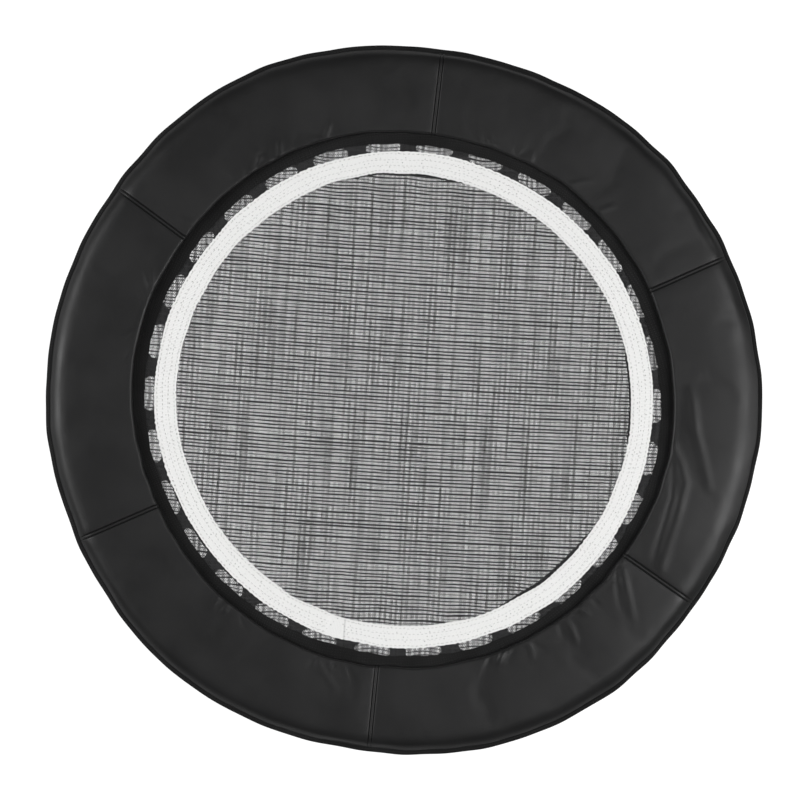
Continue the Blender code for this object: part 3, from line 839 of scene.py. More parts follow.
def saddle_shape(sizes):
    """A washer on the leg's axis, its top hollowed to the tube: -sqrt(seat^2 - x^2) high there."""
    seat, bore = sizes.tube_radius + CLEARANCE, sizes.stud_radius + CLEARANCE
    outside, bevel, chamfer, waist, horn_rise = sizes.leg_radius, 0.0003, 0.001, 0.004, 0.005
    horn, bottom = horn_rise - sizes.tube_radius, -sizes.tube_radius - SADDLE_DEPTH
    turn = np.linspace(0, TURN, 49)[:, None]

    def hollow(radii):
        return np.minimum(horn, -np.sqrt(seat**2 - (radii * np.cos(turn)) ** 2))

    side_r = np.array([bore, outside - chamfer, outside - bevel, outside, outside, outside])
    side_z = bottom + np.array([0, 0, bevel, chamfer, waist, horn - 0.0005 - bottom])
    top_r = np.linspace(outside - bevel, bore, 9)
    rim_z = np.minimum(side_z, hollow(outside) - bevel)
    heights = np.concatenate((rim_z, hollow(top_r), np.full(turn.shape, bottom)), axis=1)
    return grid(ring_points(turn, np.concatenate((side_r, top_r, [bore])), heights))


def leg_shape(sizes):
    """The leg's tube with a rolled top edge, closed at the top by the nut the stud turns in."""
    top = sizes.ring_height - sizes.tube_radius - SADDLE_DEPTH - CLEARANCE
    bottom, outside, bore = FOOT_FLOOR + CLEARANCE, sizes.leg_radius, sizes.stud_radius + CLEARANCE
    bevel, rolled = 0.0005, 0.0012
    lip = round_profile(rolled, 16)[:5] + (outside - rolled, top - rolled)
    low = [(bore, bottom), (outside - bevel, bottom), (outside, bottom + bevel)]
    return lathe([*low, *lip, (bore, top), (bore, bottom)])


def foot_shape(sizes):
    """A rubber tip: a cup with a rounded lip, two grip grooves, and a flared, bevelled base."""
    cup, outside = sizes.leg_radius + CLEARANCE, sizes.leg_radius + 0.0037
    height, bevel, lip_rise = 0.032, 0.0006, 0.0015
    taper, groove_depth, groove_half, grooves = 0.0011, 0.0006, 0.0008, (0.011, 0.0155)
    side = np.linspace(0.002, height - lip_rise, 36)
    grooved = groove_depth * sum(bell(side - at, groove_half) for at in grooves)
    radii = outside - taper * smooth_step(side, 0.008, 0.03) - grooved
    roll = np.radians(np.linspace(20, 180, 7))
    middle = (cup + radii[-1]) / 2
    lip_r = middle + (radii[-1] - middle) * np.cos(roll)
    lip = np.stack((lip_r, side[-1] + lip_rise * np.sin(roll)), -1)
    base = [(0.006, 0), (0.0055, bevel), (0.004, bevel), (0.0035, 0), (0.002, 0), (bevel, bevel)]
    base = [(0, 0)] + [(outside - inwards, up) for inwards, up in base]
    return lathe([*base, *zip(radii, side), *lip, (cup, FOOT_FLOOR), (0, FOOT_FLOOR)])


# Mat -------------------------------------------------------------------------------------------

# How a sewn edge is drawn off its circle: order, size, and bearing in degrees
MAT_DRAWN = ((2, 0.003, -34),)
BAND_DRAWN = ((1, 0.0015, -12), (2, 0.0026, -39), (4, 0.00055, 10), (5, 0.00066, 31))

# Where the hem's inner edge shows inside the band: bearing and half width in degrees, and reach
HEM_SHOWS = ((5, 9, 0.0026), (90, 14, 0.0028), (310, 14, 0.0042), (353, 4, 0.0022))


def mat_shape(mat, springs, first):
    """The mesh disc: a square grid drawn to a circle.

    The circle is a little out of round, and its edge lies up on the tab loops. The flat places
    are turned by the weave's angle and drawn outwards near the edge where each tab pulls.
    """
    steps = np.linspace(-1, 1, 141)
    u, v = np.meshgrid(steps, steps, indexing="ij")
    larger, rounding = square_to_circle(u, v)
    angle = np.arctan2(v, u)
    scale = rounding * (mat.radius + drawn(angle, MAT_DRAWN))
    x, y, radius = u * scale, v * scale, mat.radius * larger
    pull, pull_reach, ripple, edge_rise = 0.0023, 0.035, 0.00025, 0.001
    pulled = np.exp((radius - mat.radius) / pull_reach) * np.cos(springs * (angle - first))
    flat_x, flat_y = x - pull * pulled * np.cos(angle), y - pull * pulled * np.sin(angle)
    # Rows fan a little: they lie flatter towards the front and steeper towards the left
    fan_left, fan_front = np.radians((0.8, 0.6))
    fan = (fan_left * x - fan_front * y) / mat.radius
    cos, sin = math.cos(mat.weave_turn), math.sin(mat.weave_turn)
    along, across = cos * flat_x + sin * flat_y, cos * flat_y - sin * flat_x - np.tan(fan) * x
    lift = ripple * pulled + edge_rise * smooth_step(radius, 0.331, 0.336)
    return grid(np.stack((x, y, mat.height + lift), -1), np.stack((along, across), -1))


def band_edges(mat, angles):
    """Radii of the band's inner and outer edges: drawn off their circles, with fine teeth."""
    middle = drawn(angles, BAND_DRAWN)
    inner = wander(angles, 3, 0.0005, 6, 40) + wander(angles, 6, 0.0003, 150, 420)
    outer = wander(angles, 4, 0.0004, 6, 40) + wander(angles, 7, 0.0003, 150, 420)
    return mat.band_inner + middle + inner, mat.band_outer + middle + outer


def band_shape(mat):
    """The white band: a flat section carried once round and on over its own start.

    Near the joint each section is slanted, its bearing shifted by its place across the band.
    """
    lap, end = math.radians(3.4), mat.band_joint + TURN
    lift, lap_rise, slant, slant_reach = 0.0016, 0.0013, 0.016, 0.09
    angles = np.linspace(mat.band_joint - lap / 2, end + lap / 2, 1601)[:, None]
    inner, outer = band_edges(mat, angles)
    over = smooth_step(angles, end - lap * 0.9, end - lap * 0.5)
    across = np.linspace(0, 1, 9)
    ripple = 0.0002 * np.cos(4 * TURN * across) + wander(angles, 5, 0.0001, 20, 60)
    heights = mat.height + lift + lap_rise * over + ripple
    radii, heights = thickened(outer + across * (inner - outer), heights, mat.webbing)
    off_middle = np.concatenate((across, across[::-1], across[:1])) - 0.5
    near = bell(np.minimum(angles - angles[0], angles[-1] - angles), slant_reach)
    points = ring_points(angles - slant * near * off_middle, radii, heights)
    return capped(points, points.mean(axis=1))


def band_stitches(mat, rows=(0.12, 0.37, 0.63, 0.88), pitch=0.0052):
    """Rows of white stitches round the band, at these shares of its width."""
    lift, row_shift, count = 0.0023, 0.31, round(TURN * mat.band_inner / pitch)
    shapes = []
    for row, share in enumerate(rows):
        angles = TURN * (np.arange(count) + row_shift * row) / count
        inner, outer = band_edges(mat, angles)
        radii = inner + share * (outer - inner) + wander(angles, 11 + row, 0.0004, 5, 60)
        shapes.append(ring_stitches(angles, radii, mat.height + lift, *BAND_STITCH))
    return joined(*shapes)


def tab_shape(mat, sizes, pad, width):
    """A webbing tab along +X: a flat strip out over the V-ring's bar, round it and back below.

    Between the band and the tape its width grows with the third power of the distance from the
    middle.
    """
    loop, lift, flare = 0.0027, 0.0008, 0.34
    turn = np.radians(np.linspace(125, -125, 19))
    round_bar = loop * np.stack((np.cos(turn), np.sin(turn)), -1) + (sizes.bar_radius, 0)
    sewn, free = np.linspace(0.3095, 0.322, 4), np.linspace(0.3232, round_bar[0, 0] - 0.0042, 14)
    run = np.concatenate((sewn, free))
    over = np.stack((run, np.full(len(run), lift)), -1)
    path = np.concatenate((over, round_bar, over[::-1] * (1, -1)))
    middle, half = (pad.tape_inner + mat.band_outer) / 2, (pad.tape_inner - mat.band_outer) / 2
    widths = 1 + flare * np.minimum(1, np.abs(path[:, 0] - middle) / half) ** 3
    return upright_strip(path, sizes.ring_height, mat.webbing, width, widths)


def tab_ring(mat, sizes, pad):
    """Every tab at its spring, each a little off its middle and of its own width."""
    draw, count = np.random.default_rng(61), sizes.spring_count
    shift, shift_spread, width_spread = -0.35, 0.18, 0.12
    shifts = shift + shift_spread * draw.uniform(-1, 1, count)
    angles = round_angles(sizes.first_spring, count) + np.radians(shifts)
    widths = mat.tab_width * (1 + width_spread * draw.uniform(-1, 1, count))
    tabs = [tab_shape(mat, sizes, pad, width) for width in widths]
    return joined(*[turned_copies(tab, angle) for tab, angle in zip(tabs, angles)])


def hem_shape(mat, sizes):
    """The black hem tape under the mesh; its inner edge bulges past the band's where it shows."""
    outer, tucked, lift, thickness = 0.322, 0.0009, 0.0006, 0.0011
    angles = np.linspace(0, TURN, 721)[:, None]
    inner = band_edges(mat, angles)[0] + tucked + wander(angles, 21, 0.0003, 8, 60)
    for middle, half_width, reach in HEM_SHOWS:
        apart = np.degrees(wrapped(angles - math.radians(middle)))
        inner = inner - (reach + tucked) * bell(apart, half_width, 4)
    radii = outer + np.linspace(0, 1, 7) * (inner - outer)
    return ring_strip(angles, radii, sizes.ring_height + lift, thickness)


# Padded cover ----------------------------------------------------------------------------------

# Creases in the vinyl: height, half width, and the (radius, bearing in degrees) places on the way
CREASES = [
    (0.0021, 0.0060, [(0.356, -10), (0.370, -13), (0.3816, -16.6), (0.3843, -21.8), (0.3882, -26),
                      (0.3986, -33)]),
    (0.0017, 0.0052, [(0.372, 2), (0.3751, 0), (0.3816, -6), (0.3986, -12), (0.412, -16)]),
    (-0.0010, 0.0040, [(0.362, -14), (0.372, -20), (0.376, -26), (0.384, -32)]),
    (0.0012, 0.0042, [(0.3573, -37.3), (0.378, -40), (0.4097, -43.5)]),
    (-0.0008, 0.0030, [(0.354, -38.5), (0.372, -41.5), (0.392, -44)]),
    (0.0011, 0.0032, [(0.3529, -53), (0.368, -53.6), (0.3868, -54.4)]),
    (-0.0008, 0.0024, [(0.352, -55), (0.372, -56)]),
    (0.0009, 0.0030, [(0.353, -62.6), (0.366, -62.9), (0.376, -63.5)]),
    (0.0010, 0.0032, [(0.3534, 251.1), (0.368, 253.6), (0.3838, 256.7)]),
    (-0.0007, 0.0026, [(0.352, 258), (0.37, 260)]),
    (0.0009, 0.0028, [(0.353, 52.2), (0.366, 50.6), (0.374, 49)]),
    (0.0009, 0.0028, [(0.353, 43.8), (0.364, 43.2), (0.372, 42.4)]),
    (0.0009, 0.0030, [(0.354, 119), (0.3696, 120.3), (0.38, 121.5)]),
    (0.0009, 0.0030, [(0.3535, 139.9), (0.364, 140.6), (0.374, 141)]),
    (0.0008, 0.0028, [(0.354, 165.5), (0.364, 166.2), (0.3725, 167.5)]),
    (0.0014, 0.0040, [(0.453, 25.4), (0.4525, 28), (0.4535, 31.5), (0.4565, 36)]),
    (-0.0010, 0.0030, [(0.4475, 26), (0.447, 30), (0.4495, 34)]),
    (0.0005, 0.0090, [(0.432, -34), (0.437, -24), (0.4385, -12), (0.437, 0), (0.434, 12)]),
]

# Where small crumples gather at the inner edge: first and last bearing in degrees, and how many
CRUMPLED = (
    (61, 78, 7), (102, 128, 9), (154, 170, 5), (226, 236, 3),
    (247, 258, 4), (287, 299, 6), (302, 323, 6),
)

# How the pad's outer edge, the vinyl's inner edge and the tape are drawn, as for the band
EDGE_DRAWN = ((2, 0.0030, -31), (3, 0.0011, 8), (4, 0.0018, 30))
INNER_DRAWN = (
    (1, 0.0005, 75), (2, 0.0027, -29), (3, 0.0008, 17), (5, 0.0006, -33), (6, 0.0008, -10)
)
TAPE_DRAWN = ((2, 0.0025, -34), (5, 0.0005, -26), (6, 0.00125, -11))

# How far each seam stands off even spacing, in degrees
SEAM_SHIFTS = (0.0, -0.3, -0.3, -0.4, 0.6, 1.1)

# Distances of the cover's sections from a seam in millimetres, and the one on the stitches
NEAR_SEAM = np.array([0.0, 0.7, 1.3, 1.7, 2.15, 2.6, 3.0, 3.6, 4.6, 6.0, 8.0, 11.0, 15.0])
ON_STITCHES = 4

# Points of a section of the cover: on the lip under the binding, on top and underneath
LIP, TOP, LOW = slice(0, 2), slice(2, 41), slice(41, 47)
FLANGE = 0.0012  # from the pad's outer edge in to the vinyl's
SKIN = 0.0014  # the vinyl under and over the foam
LINING = 0.0006  # thickness of the lining
AIR = 0.0001  # between the lining and the vinyl


def crumples(pad):
    """Short creases out from the inner edge, each with its own slant, length, height and width."""
    draw, steps = np.random.default_rng(71), np.linspace(0, 1, 4)
    creases = []
    for first, last, count in CRUMPLED:
        for at in draw.uniform(first, last, count):
            span, slant = draw.uniform(0.006, 0.02), draw.uniform(-3.2, 3.2)
            height = draw.choice([-0.7, 1.0]) * draw.uniform(0.0008, 0.0016)
            start = pad.inner_radius + drawn(math.radians(at), INNER_DRAWN) + 0.0025
            stations = list(zip(start + span * steps, at + slant * steps**1.4))
            creases.append((height, draw.uniform(0.0016, 0.003), stations))
    return creases


def crease_height(radii, angles, creases):
    """Sum of the creases: a bell of the distance to each crease's line, fading at its two ends."""
    x, y, _ = np.moveaxis(ring_points(angles, radii, 0.0), -1, 0)
    total = np.zeros_like(x)
    for height, half_width, stations in creases:
        station_r, bearings = np.array(stations).T
        line = ring_points(np.radians(bearings), station_r, 0.0)[:, :2]
        nearest, run = np.full(x.shape, 1.0), np.zeros_like(x)
        for part, (start, end) in enumerate(zip(line[:-1], line[1:])):
            step, from_x, from_y = end - start, x - start[0], y - start[1]
            share = np.clip((from_x * step[0] + from_y * step[1]) / (step @ step), 0, 1)
            apart = np.hypot(from_x - share * step[0], from_y - share * step[1])
            run = np.where(apart < nearest, (part + share) / (len(line) - 1), run)
            nearest = np.minimum(nearest, apart)
        faded = np.sin(math.pi * (0.12 + 0.76 * run)) ** 0.7
        total += height * bell(nearest, half_width) * faded
    return total


def seam_offset(pad, angles):
    """The angle from the nearest radial seam, as if the seams were evenly spaced."""
    return wrapped(angles - pad.first_seam, TURN / pad.panel_count)


def seam_shift(pad, angles):
    """The shift of the nearest seams, eased from one to the next round the ring."""
    place = np.mod((angles - pad.first_seam) / TURN * pad.panel_count, pad.panel_count)
    shifts = np.radians(np.append(SEAM_SHIFTS, SEAM_SHIFTS[:1]))
    before = np.minimum(place.astype(int), pad.panel_count - 1)
    share = smooth_step(place - before, 0.1, 0.9)
    return shifts[before] + share * (shifts[before + 1] - shifts[before])


def pad_edges(pad, angles):
    """Radii of the pad's outer edge, drawn in at each seam, and of the binding's inner edge."""
    near_seam = np.cos((angles - pad.first_seam) * pad.panel_count / 2) ** 2
    edge = pad.outer_radius - pad.seam_pull * near_seam
    edge = edge + drawn(angles, EDGE_DRAWN) + wander(angles, 31, 0.0005, 8, 60)
    return edge, edge - pad.binding_width


def pad_inside(pad, angles):
    """Radius of the vinyl's inner edge."""
    return pad.inner_radius + drawn(angles, INNER_DRAWN) + wander(angles, 32, 0.0004, 8, 60)


def lining_height(pad, sizes, radii, edge, rim):
    """Height of the lining's lower side: up over the coils, flat on the tube, then falling.

    Nowhere is it lower than the tube, sqrt(tube^2 - (radius - ring)^2), with a clearance that
    grows by the binding's thickness beyond the rim.
    """
    crest, shoulder, binding = 0.4386, 0.446, 0.0012
    start, rise, fall, turn_down = 0.00681, 0.00619, 0.002, 0.003

    def share(low, high):
        return np.clip((radii - low) / (high - low), 0, 1)

    level = start + rise * share(pad.inner_radius, crest)
    level = level - fall * share(shoulder, rim) - turn_down * share(rim, edge)
    clear = CLEARANCE + np.where(radii > rim - SAME_PLACE, binding, 0.0)
    tube = np.sqrt(np.maximum(0, sizes.tube_radius**2 - (radii - sizes.ring_radius) ** 2))
    return sizes.ring_height + np.maximum(level, np.where(tube > 0, tube + clear, 0))


def pad_stations(pad):
    """Bearings of the cover's sections: close together at each seam and even across each panel."""
    near = 0.001 * NEAR_SEAM / ((pad.inner_radius + pad.outer_radius) / 2)
    panel = TURN / pad.panel_count
    across = np.linspace(near[-1], panel - near[-1], 104)[1:-1]
    one_panel = np.concatenate((near, across, panel - near[:0:-1]))
    return (round_angles(pad.first_seam, pad.panel_count)[:, None] + one_panel).reshape(-1, 1)


def cover_section(pad, sizes):
    """The cover as grids of bearings, radii and heights, one closed section in each row.

    Across the top, a runs from the inner edge to the binding. The height over the lining is the
    foam times (1 - |2a - 1|^70)^(1/2) on the folded inner half, and times 1 - 0.6 |2a - 1|^8 on
    the rolled outer half; on the right the foam is softer, and the 0.6 falls to 0.45 and the 8 to
    3. Each seam takes off a bell-shaped dip and a narrow groove along each row of stitches. Gives
    also a, and the distance from the nearest seam.
    """
    base = pad_stations(pad)
    edge, rim = pad_edges(pad, base)
    inner, flange = pad_inside(pad, base), edge - FLANGE
    lip = rim + np.array([1.0, 0.5]) * (flange - rim)
    top = inner + (1 + np.sin(np.linspace(1, -1, 39) * math.pi / 2)) / 2 * (rim - inner)
    low = inner + np.array([0.0, 0.08, 0.3, 0.6, 0.85, 1.0]) * (flange - inner)
    radii = np.concatenate((lip, top, low), axis=1)

    # Near a seam the sections run side by side with it
    middle, offset = (pad.inner_radius + pad.outer_radius) / 2, seam_offset(pad, base)
    straight = 1 - smooth_step(np.abs(offset) * middle, 0.008, 0.05)
    angles = base + offset * straight * (middle / radii - 1)
    apart = np.abs(seam_offset(pad, angles) * radii)
    angles = angles + seam_shift(pad, base)

    across = np.clip((radii - inner) / (rim - inner), 0, 1)
    reach = np.abs(2 * across - 1)
    soft = bell(np.degrees(wrapped(base)) + 7, 30, 4)
    folded = np.sqrt(np.maximum(0, 1 - reach**70))
    rolled = 1 - (0.6 - 0.15 * soft) * reach ** (8 - 5 * soft)
    dip_half, groove_depth, groove_half = 0.0062, 0.002, 0.00055
    dip = pad.seam_dip * bell(apart, dip_half)
    groove = groove_depth * bell(apart - pad.stitch_row, groove_half)
    swell = wander(angles, 33, 0.00022, 5, 40) * np.sin(math.pi * across)
    creased = crease_height(radii, angles, CREASES + crumples(pad))
    foam = np.where(across < 0.5, folded, rolled) * (pad.foam - dip - groove + swell + creased)

    heights = lining_height(pad, sizes, radii, edge, rim) + LINING + AIR
    heights[:, LIP] += SKIN
    heights[:, TOP] += foam[:, TOP] + SKIN
    return angles, radii, heights, across, apart


def settled(points, pins, spare, pressure, frames=18):
    """The points after Blender's Cloth has run on a closed ring, held where sewn and puffed up.

    The cloth is cut larger than the shape by `spare`, so it has to buckle between the seams.
    """
    rows, columns = points.shape[:2]
    faces = quads(np.pad(numbered(rows, columns), (0, 1), mode="wrap"))
    mesh = bpy.data.meshes.new("settling_cover")
    mesh.from_pydata(points.reshape(-1, 3).tolist(), [], faces.tolist())
    cover = bpy.data.objects.new("settling_cover", mesh)
    scene = bpy.context.scene
    scene.collection.objects.link(cover)
    sewn = cover.vertex_groups.new(name="sewn")
    for weight in np.unique(pins):
        sewn.add(np.flatnonzero(pins.ravel() == weight).tolist(), float(weight), "REPLACE")
    cloth = cover.modifiers.new("cloth", "CLOTH")
    settings = {
        "quality": 6, "mass": 0.25, "tension_stiffness": 40, "compression_stiffness": 40,
        "shear_stiffness": 20, "bending_stiffness": 1.5, "shrink_min": -spare,
        "use_pressure": True, "uniform_pressure_force": pressure, "vertex_group_mass": sewn.name,
    }
    for name, value in settings.items():
        setattr(cloth.settings, name, value)
    cloth.settings.effector_weights.gravity = 0
    cloth.collision_settings.use_collision = False
    cloth.point_cache.frame_start, cloth.point_cache.frame_end = 1, frames
    for step in range(1, frames + 1):
        scene.frame_set(step)
    result = cover.evaluated_get(bpy.context.evaluated_depsgraph_get())
    after = np.empty(points.size)
    result.data.vertices.foreach_get("co", after)
    scene.frame_set(1)
    bpy.data.objects.remove(cover)
    bpy.data.meshes.remove(mesh)
    return after.reshape(points.shape)


def cover_points(pad, sizes):
    """The cover's points after its cloth has settled; the foam allows half of the movement."""
    angles, radii, heights, across, apart = cover_section(pad, sizes)
    points = ring_points(angles, radii, heights)
    deepest, farthest = 0.0006, 0.0028
    held, across = np.ones(points.shape[:2]), across[:, TOP]
    loose = smooth_step(across, 0.03, 0.12) * (1 - smooth_step(across, 0.93, 0.99))
    loose = loose * smooth_step(apart[:, TOP], 0.004, 0.016)
    held[:, TOP] = np.round(1 - loose, 1)
    shift = 0.5 * (settled(points, held, spare=0.0003, pressure=0.35) - points)
    shift[..., 2] = np.maximum(shift[..., 2], -deepest)
    far = np.linalg.norm(shift, axis=-1, keepdims=True)
    return points + shift * np.minimum(1, farthest / np.maximum(far, TINY))


def seam_stitches(pad, points):
    """Two rows of stitches along each seam, laid in the cover's grooves."""
    first, last, ahead, lift = 0.004, 0.003, 0.001, 0.0001
    stations = len(points) // pad.panel_count
    shapes = []
    for seam in range(pad.panel_count):
        for station in (ON_STITCHES, -ON_STITCHES):
            line = points[(seam * stations + station) % len(points), TOP][::-1]
            run = run_lengths(line[:, None])
            places = np.arange(first, run[-1] - last, pad.stitch_pitch)
            middles, next_places = (
                np.stack([np.interp(at, run, axis) for axis in line.T], -1)
                for at in (places, places + ahead)
            )
            along = next_places - middles
            up = np.cross(along, np.cross((0.0, 0.0, 1.0), along))
            shapes.append(stitches(middles + unit(up) * lift, along, up, *SEAM_STITCH))
    return joined(*shapes)


def binding_centre(pad, sizes, angles):
    """The binding's centre line: out along the lining, round the edge and back in over the vinyl.

    A ripple runs along the edge, and the upper side is pressed in along its stitches.
    """
    below, above, slope, swell, pressed = 0.0008, 0.0055, 0.0008, 0.0005, 0.0004
    edge, rim = pad_edges(pad, angles)
    out = np.linspace(0, 0.93, 8)
    back, fold = out[::-1], np.radians(np.linspace(-70, 70, 6))
    low_r, top_r = rim + out * (edge - rim), rim + back * (edge - rim)
    low_z = lining_height(pad, sizes, low_r, edge, rim) - below
    bulge = slope * back + swell * np.sin(math.pi * back) - pressed * bell(back - 0.2, 0.07)
    top_z = lining_height(pad, sizes, top_r, edge, rim) + above + bulge
    low_end, low_r_end, top_start = low_z[:, -1:], low_r[:, -1:], top_z[:, :1]
    fold_r = low_r_end + (edge - 0.0004 - low_r_end) * np.cos(fold)
    fold_z = (low_end + top_start) / 2 + (top_start - low_end) / 2 * np.sin(fold)
    heights = np.concatenate((low_z, fold_z, top_z), axis=1)
    ripple = wander(angles, 41, 0.00018, 12, 120)
    return np.concatenate((low_r, fold_r, top_r), axis=1), heights + ripple


def binding_shape(pad, sizes, thickness=0.0008):
    """The binding: its centre line thickened."""
    angles = np.linspace(0, TURN, 541)[:, None]
    return ring_strip(angles, *binding_centre(pad, sizes, angles), thickness)


def binding_stitches(pad, sizes, station=-3, lift=0.0004):
    """One row of stitches on the binding's upper side, near its inner edge."""
    angles = round_angles(0.0, round(TURN * pad.outer_radius / pad.stitch_pitch))
    radii, heights = binding_centre(pad, sizes, angles[:, None])
    return ring_stitches(angles, radii[:, station], heights[:, station] + lift, *BINDING_STITCH)


def hat_weights(knots, columns):
    """Weights that carry knots to even columns: straight between knots, then averaged twice."""
    share = np.linspace(0, knots - 1, columns)[:, None]
    weights = np.maximum(0, 1 - np.abs(share - np.arange(knots)))
    for _ in range(2):
        weights[1:-1] = (weights[:-2] + 2 * weights[1:-1] + weights[2:]) / 4
    return weights


def tape_shape(pad, sizes):
    """The tape inside the vinyl: from under the pad, over the tab loops and down on to the mat.

    Fine radial gathers lift it, most towards the front and the back, and it laps over itself at
    one place.
    """
    gather, gathers, lap_rise, lap_bearing, thickness = 0.00028, 400, 0.0006, 169, 0.0009
    angles = np.linspace(0, TURN, 1441)[:, None]
    edge = pad_inside(pad, angles)
    inner = pad.tape_inner + drawn(angles, TAPE_DRAWN) + wander(angles, 51, 0.0004, 8, 90)
    outer, hump = 0 * edge + 0.359, edge - 0.0052
    knots = (outer, edge + 0.003, edge - 0.0006, hump, (hump + inner) / 2, inner)
    level = sizes.ring_height + np.array([0.0062, 0.0059, 0.0056, 0.0053, 0.0044, 0.0041])
    weights = hat_weights(len(level), 17).T
    radii = np.concatenate(knots, axis=1) @ weights
    gathered = gather * (0.25 + 0.75 * np.sin(angles) ** 2)
    ribs = np.cos(angles * gathers + 3 * wander(angles, 52, 1.0, 5, 30))
    shown = smooth_step(radii, edge + 0.003, edge - 0.001)
    lap = lap_rise * smooth_step(np.abs(angles - math.radians(lap_bearing)), 0.012, 0.009)
    heights = level @ weights + shown * (gathered * (ribs + 1) + lap)
    return ring_strip(angles, radii, heights, thickness)


def lining_shape(pad, sizes):
    """The cloth under the pad, from its inner edge to the binding."""
    angles = np.linspace(0, TURN, 361)[:, None]
    edge, rim = pad_edges(pad, angles)
    knots = 0 * angles + np.array([0.37, 0.40, 0.42, 0.4386, 0.442, 0.4445, 0.447])
    radii = np.concatenate((pad_inside(pad, angles), knots, rim, edge - FLANGE), axis=1)[:, ::-1]
    heights = lining_height(pad, sizes, radii, edge, rim) + LINING / 2
    return ring_strip(angles, radii, heights, LINING)


def strap_shape(sizes, pad, thickness):
    """An elastic strap along +X: from the lining round below the tube and up to it again."""
    reach = sizes.tube_radius + CLEARANCE + thickness / 2
    turn = np.radians(np.linspace(45, -225, 31))
    round_tube = reach * np.stack((np.cos(turn), np.sin(turn)), -1) + (sizes.ring_radius, 0)
    ends = round_tube[[0, -1]] + [(0.0006, 0.0028), (-0.0006, 0.0026)]
    path = np.concatenate((ends[:1], round_tube, ends[1:]))
    return upright_strip(path, sizes.ring_height, thickness, pad.strap_width)


# Operators -------------------------------------------------------------------------------------


class TRAMPOLINE_OT_finishes(bpy.types.Operator):
    """Builds the shared node groups and every finish"""

    bl_idname = "trampoline.finishes"
    bl_label = "Finishes"

    def execute(self, context):
        make_materials(context.scene)
        return {"FINISHED"}


class TRAMPOLINE_OT_ring(bpy.types.Operator):
    """Builds the bent tube with its hook holes and the threaded studs"""

    bl_idname = "trampoline.ring"
    bl_label = "Ring"

    def execute(self, context):
        sizes = context.scene.trampoline_frame
        stud = moved(threaded_stud(sizes), (sizes.ring_radius, 0, 0))
        studs = turned_copies(stud, round_angles(sizes.first_leg, sizes.leg_count))
        add_piece(
            "ring_tube", joined(pitted_tube(sizes), studs), "satin_powder_coat",
            body="frame", slot="powder_coat", replaces=["frame_ring"], sharp=50,
        )
        return {"FINISHED"}


class TRAMPOLINE_OT_springs(bpy.types.Operator):
    """Builds the coil springs and the V-rings that they pull"""

    bl_idname = "trampoline.springs"
    bl_label = "Springs"

    def execute(self, context):
        sizes = context.scene.trampoline_frame
        angles = round_angles(sizes.first_spring, sizes.spring_count)
        shape, inner = spring_shape(sizes), sizes.vee_tip + 0.004
        wall = sizes.ring_radius - sizes.tube_radius
        for at, angle in enumerate(angles, 1):
            spring = add_piece(
                f"coil_{at:02d}", turned_copies(shape, angle), "plated_wire",
                slot="zinc_wire", replaces=[f"spring_{at:02d}"],
            )
            start, end = (ring_points(angle, r, sizes.ring_height) for r in (wall, inner))
            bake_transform(spring)
        vees = turned_copies(vee_shape(sizes, context.scene.trampoline_mat.tab_width), angles)
        add_piece("vee_rings", vees, "plated_wire", body="mat", slot="zinc_wire")
        return {"FINISHED"}


class TRAMPOLINE_OT_mat(bpy.types.Operator):
    """Builds the mesh mat, its white band and the webbing tabs"""

    bl_idname = "trampoline.mat"
    bl_label = "Mat"

    def execute(self, context):
        sizes, mat = context.scene.trampoline_frame, context.scene.trampoline_mat
        mesh = add_piece(
            "mesh_mat", mat_shape(mat, sizes.spring_count, sizes.first_spring), "open_mesh",
            body="mat", slot="mesh_cloth", replaces=["jump_mat"],
        )
        white = {"body": "mat", "slot": "white_webbing"}
        black = {"body": "mat", "slot": "black_webbing", "sharp": 50}
        band = add_piece(
            "white_band", band_shape(mat), "woven_white_band",
            replaces=["mat_edge_band"], sharp=50, **white,
        )
        add_piece("white_band_stitches", band_stitches(mat), "white_thread", **white)
        tabs = tab_ring(mat, sizes, context.scene.trampoline_pad)
        add_piece("webbing_tabs", tabs, "tab_webbing", replaces=["mat_tab_ring"], **black)
        add_piece("hem_tape", hem_shape(mat, sizes), "woven_black_tape", **black)
        return {"FINISHED"}


class TRAMPOLINE_OT_pad(bpy.types.Operator):
    """Builds the padded vinyl cover and the stitches along its seams"""

    bl_idname = "trampoline.pad"
    bl_label = "Padded cover"

    def execute(self, context):
        pad = context.scene.trampoline_pad
        points = cover_points(pad, context.scene.trampoline_frame)
        cover = add_piece(
            "vinyl_cover", closed_grid(points), "grained_vinyl",
            body="frame", slot="vinyl", replaces=["pad_cover", "pad_foam"],
        )
        sewing = seam_stitches(pad, points)
        add_piece("seam_stitches", sewing, "black_thread", body="frame", slot="black_webbing")
        return {"FINISHED"}


class TRAMPOLINE_OT_pad_trim(bpy.types.Operator):
    """Builds the binding on the pad's outer edge and the tape on its inner edge"""

    bl_idname = "trampoline.pad_trim"
    bl_label = "Pad trim"

    def execute(self, context):
        sizes, pad = context.scene.trampoline_frame, context.scene.trampoline_pad
        for name, shape, finish, settings in (
            ("edge_binding", binding_shape, "woven_black_tape",
             {"replaces": ["pad_outer_binding"], "sharp": 60}),
            ("binding_stitches", binding_stitches, "black_thread", {}),
            ("inner_tape", tape_shape, "woven_black_tape",
             {"replaces": ["pad_inner_skirt"], "sharp": 60}),
        ):
            settings.update(body="frame", slot="black_webbing")
            add_piece(name, shape(pad, sizes), finish, **settings)
        return {"FINISHED"}


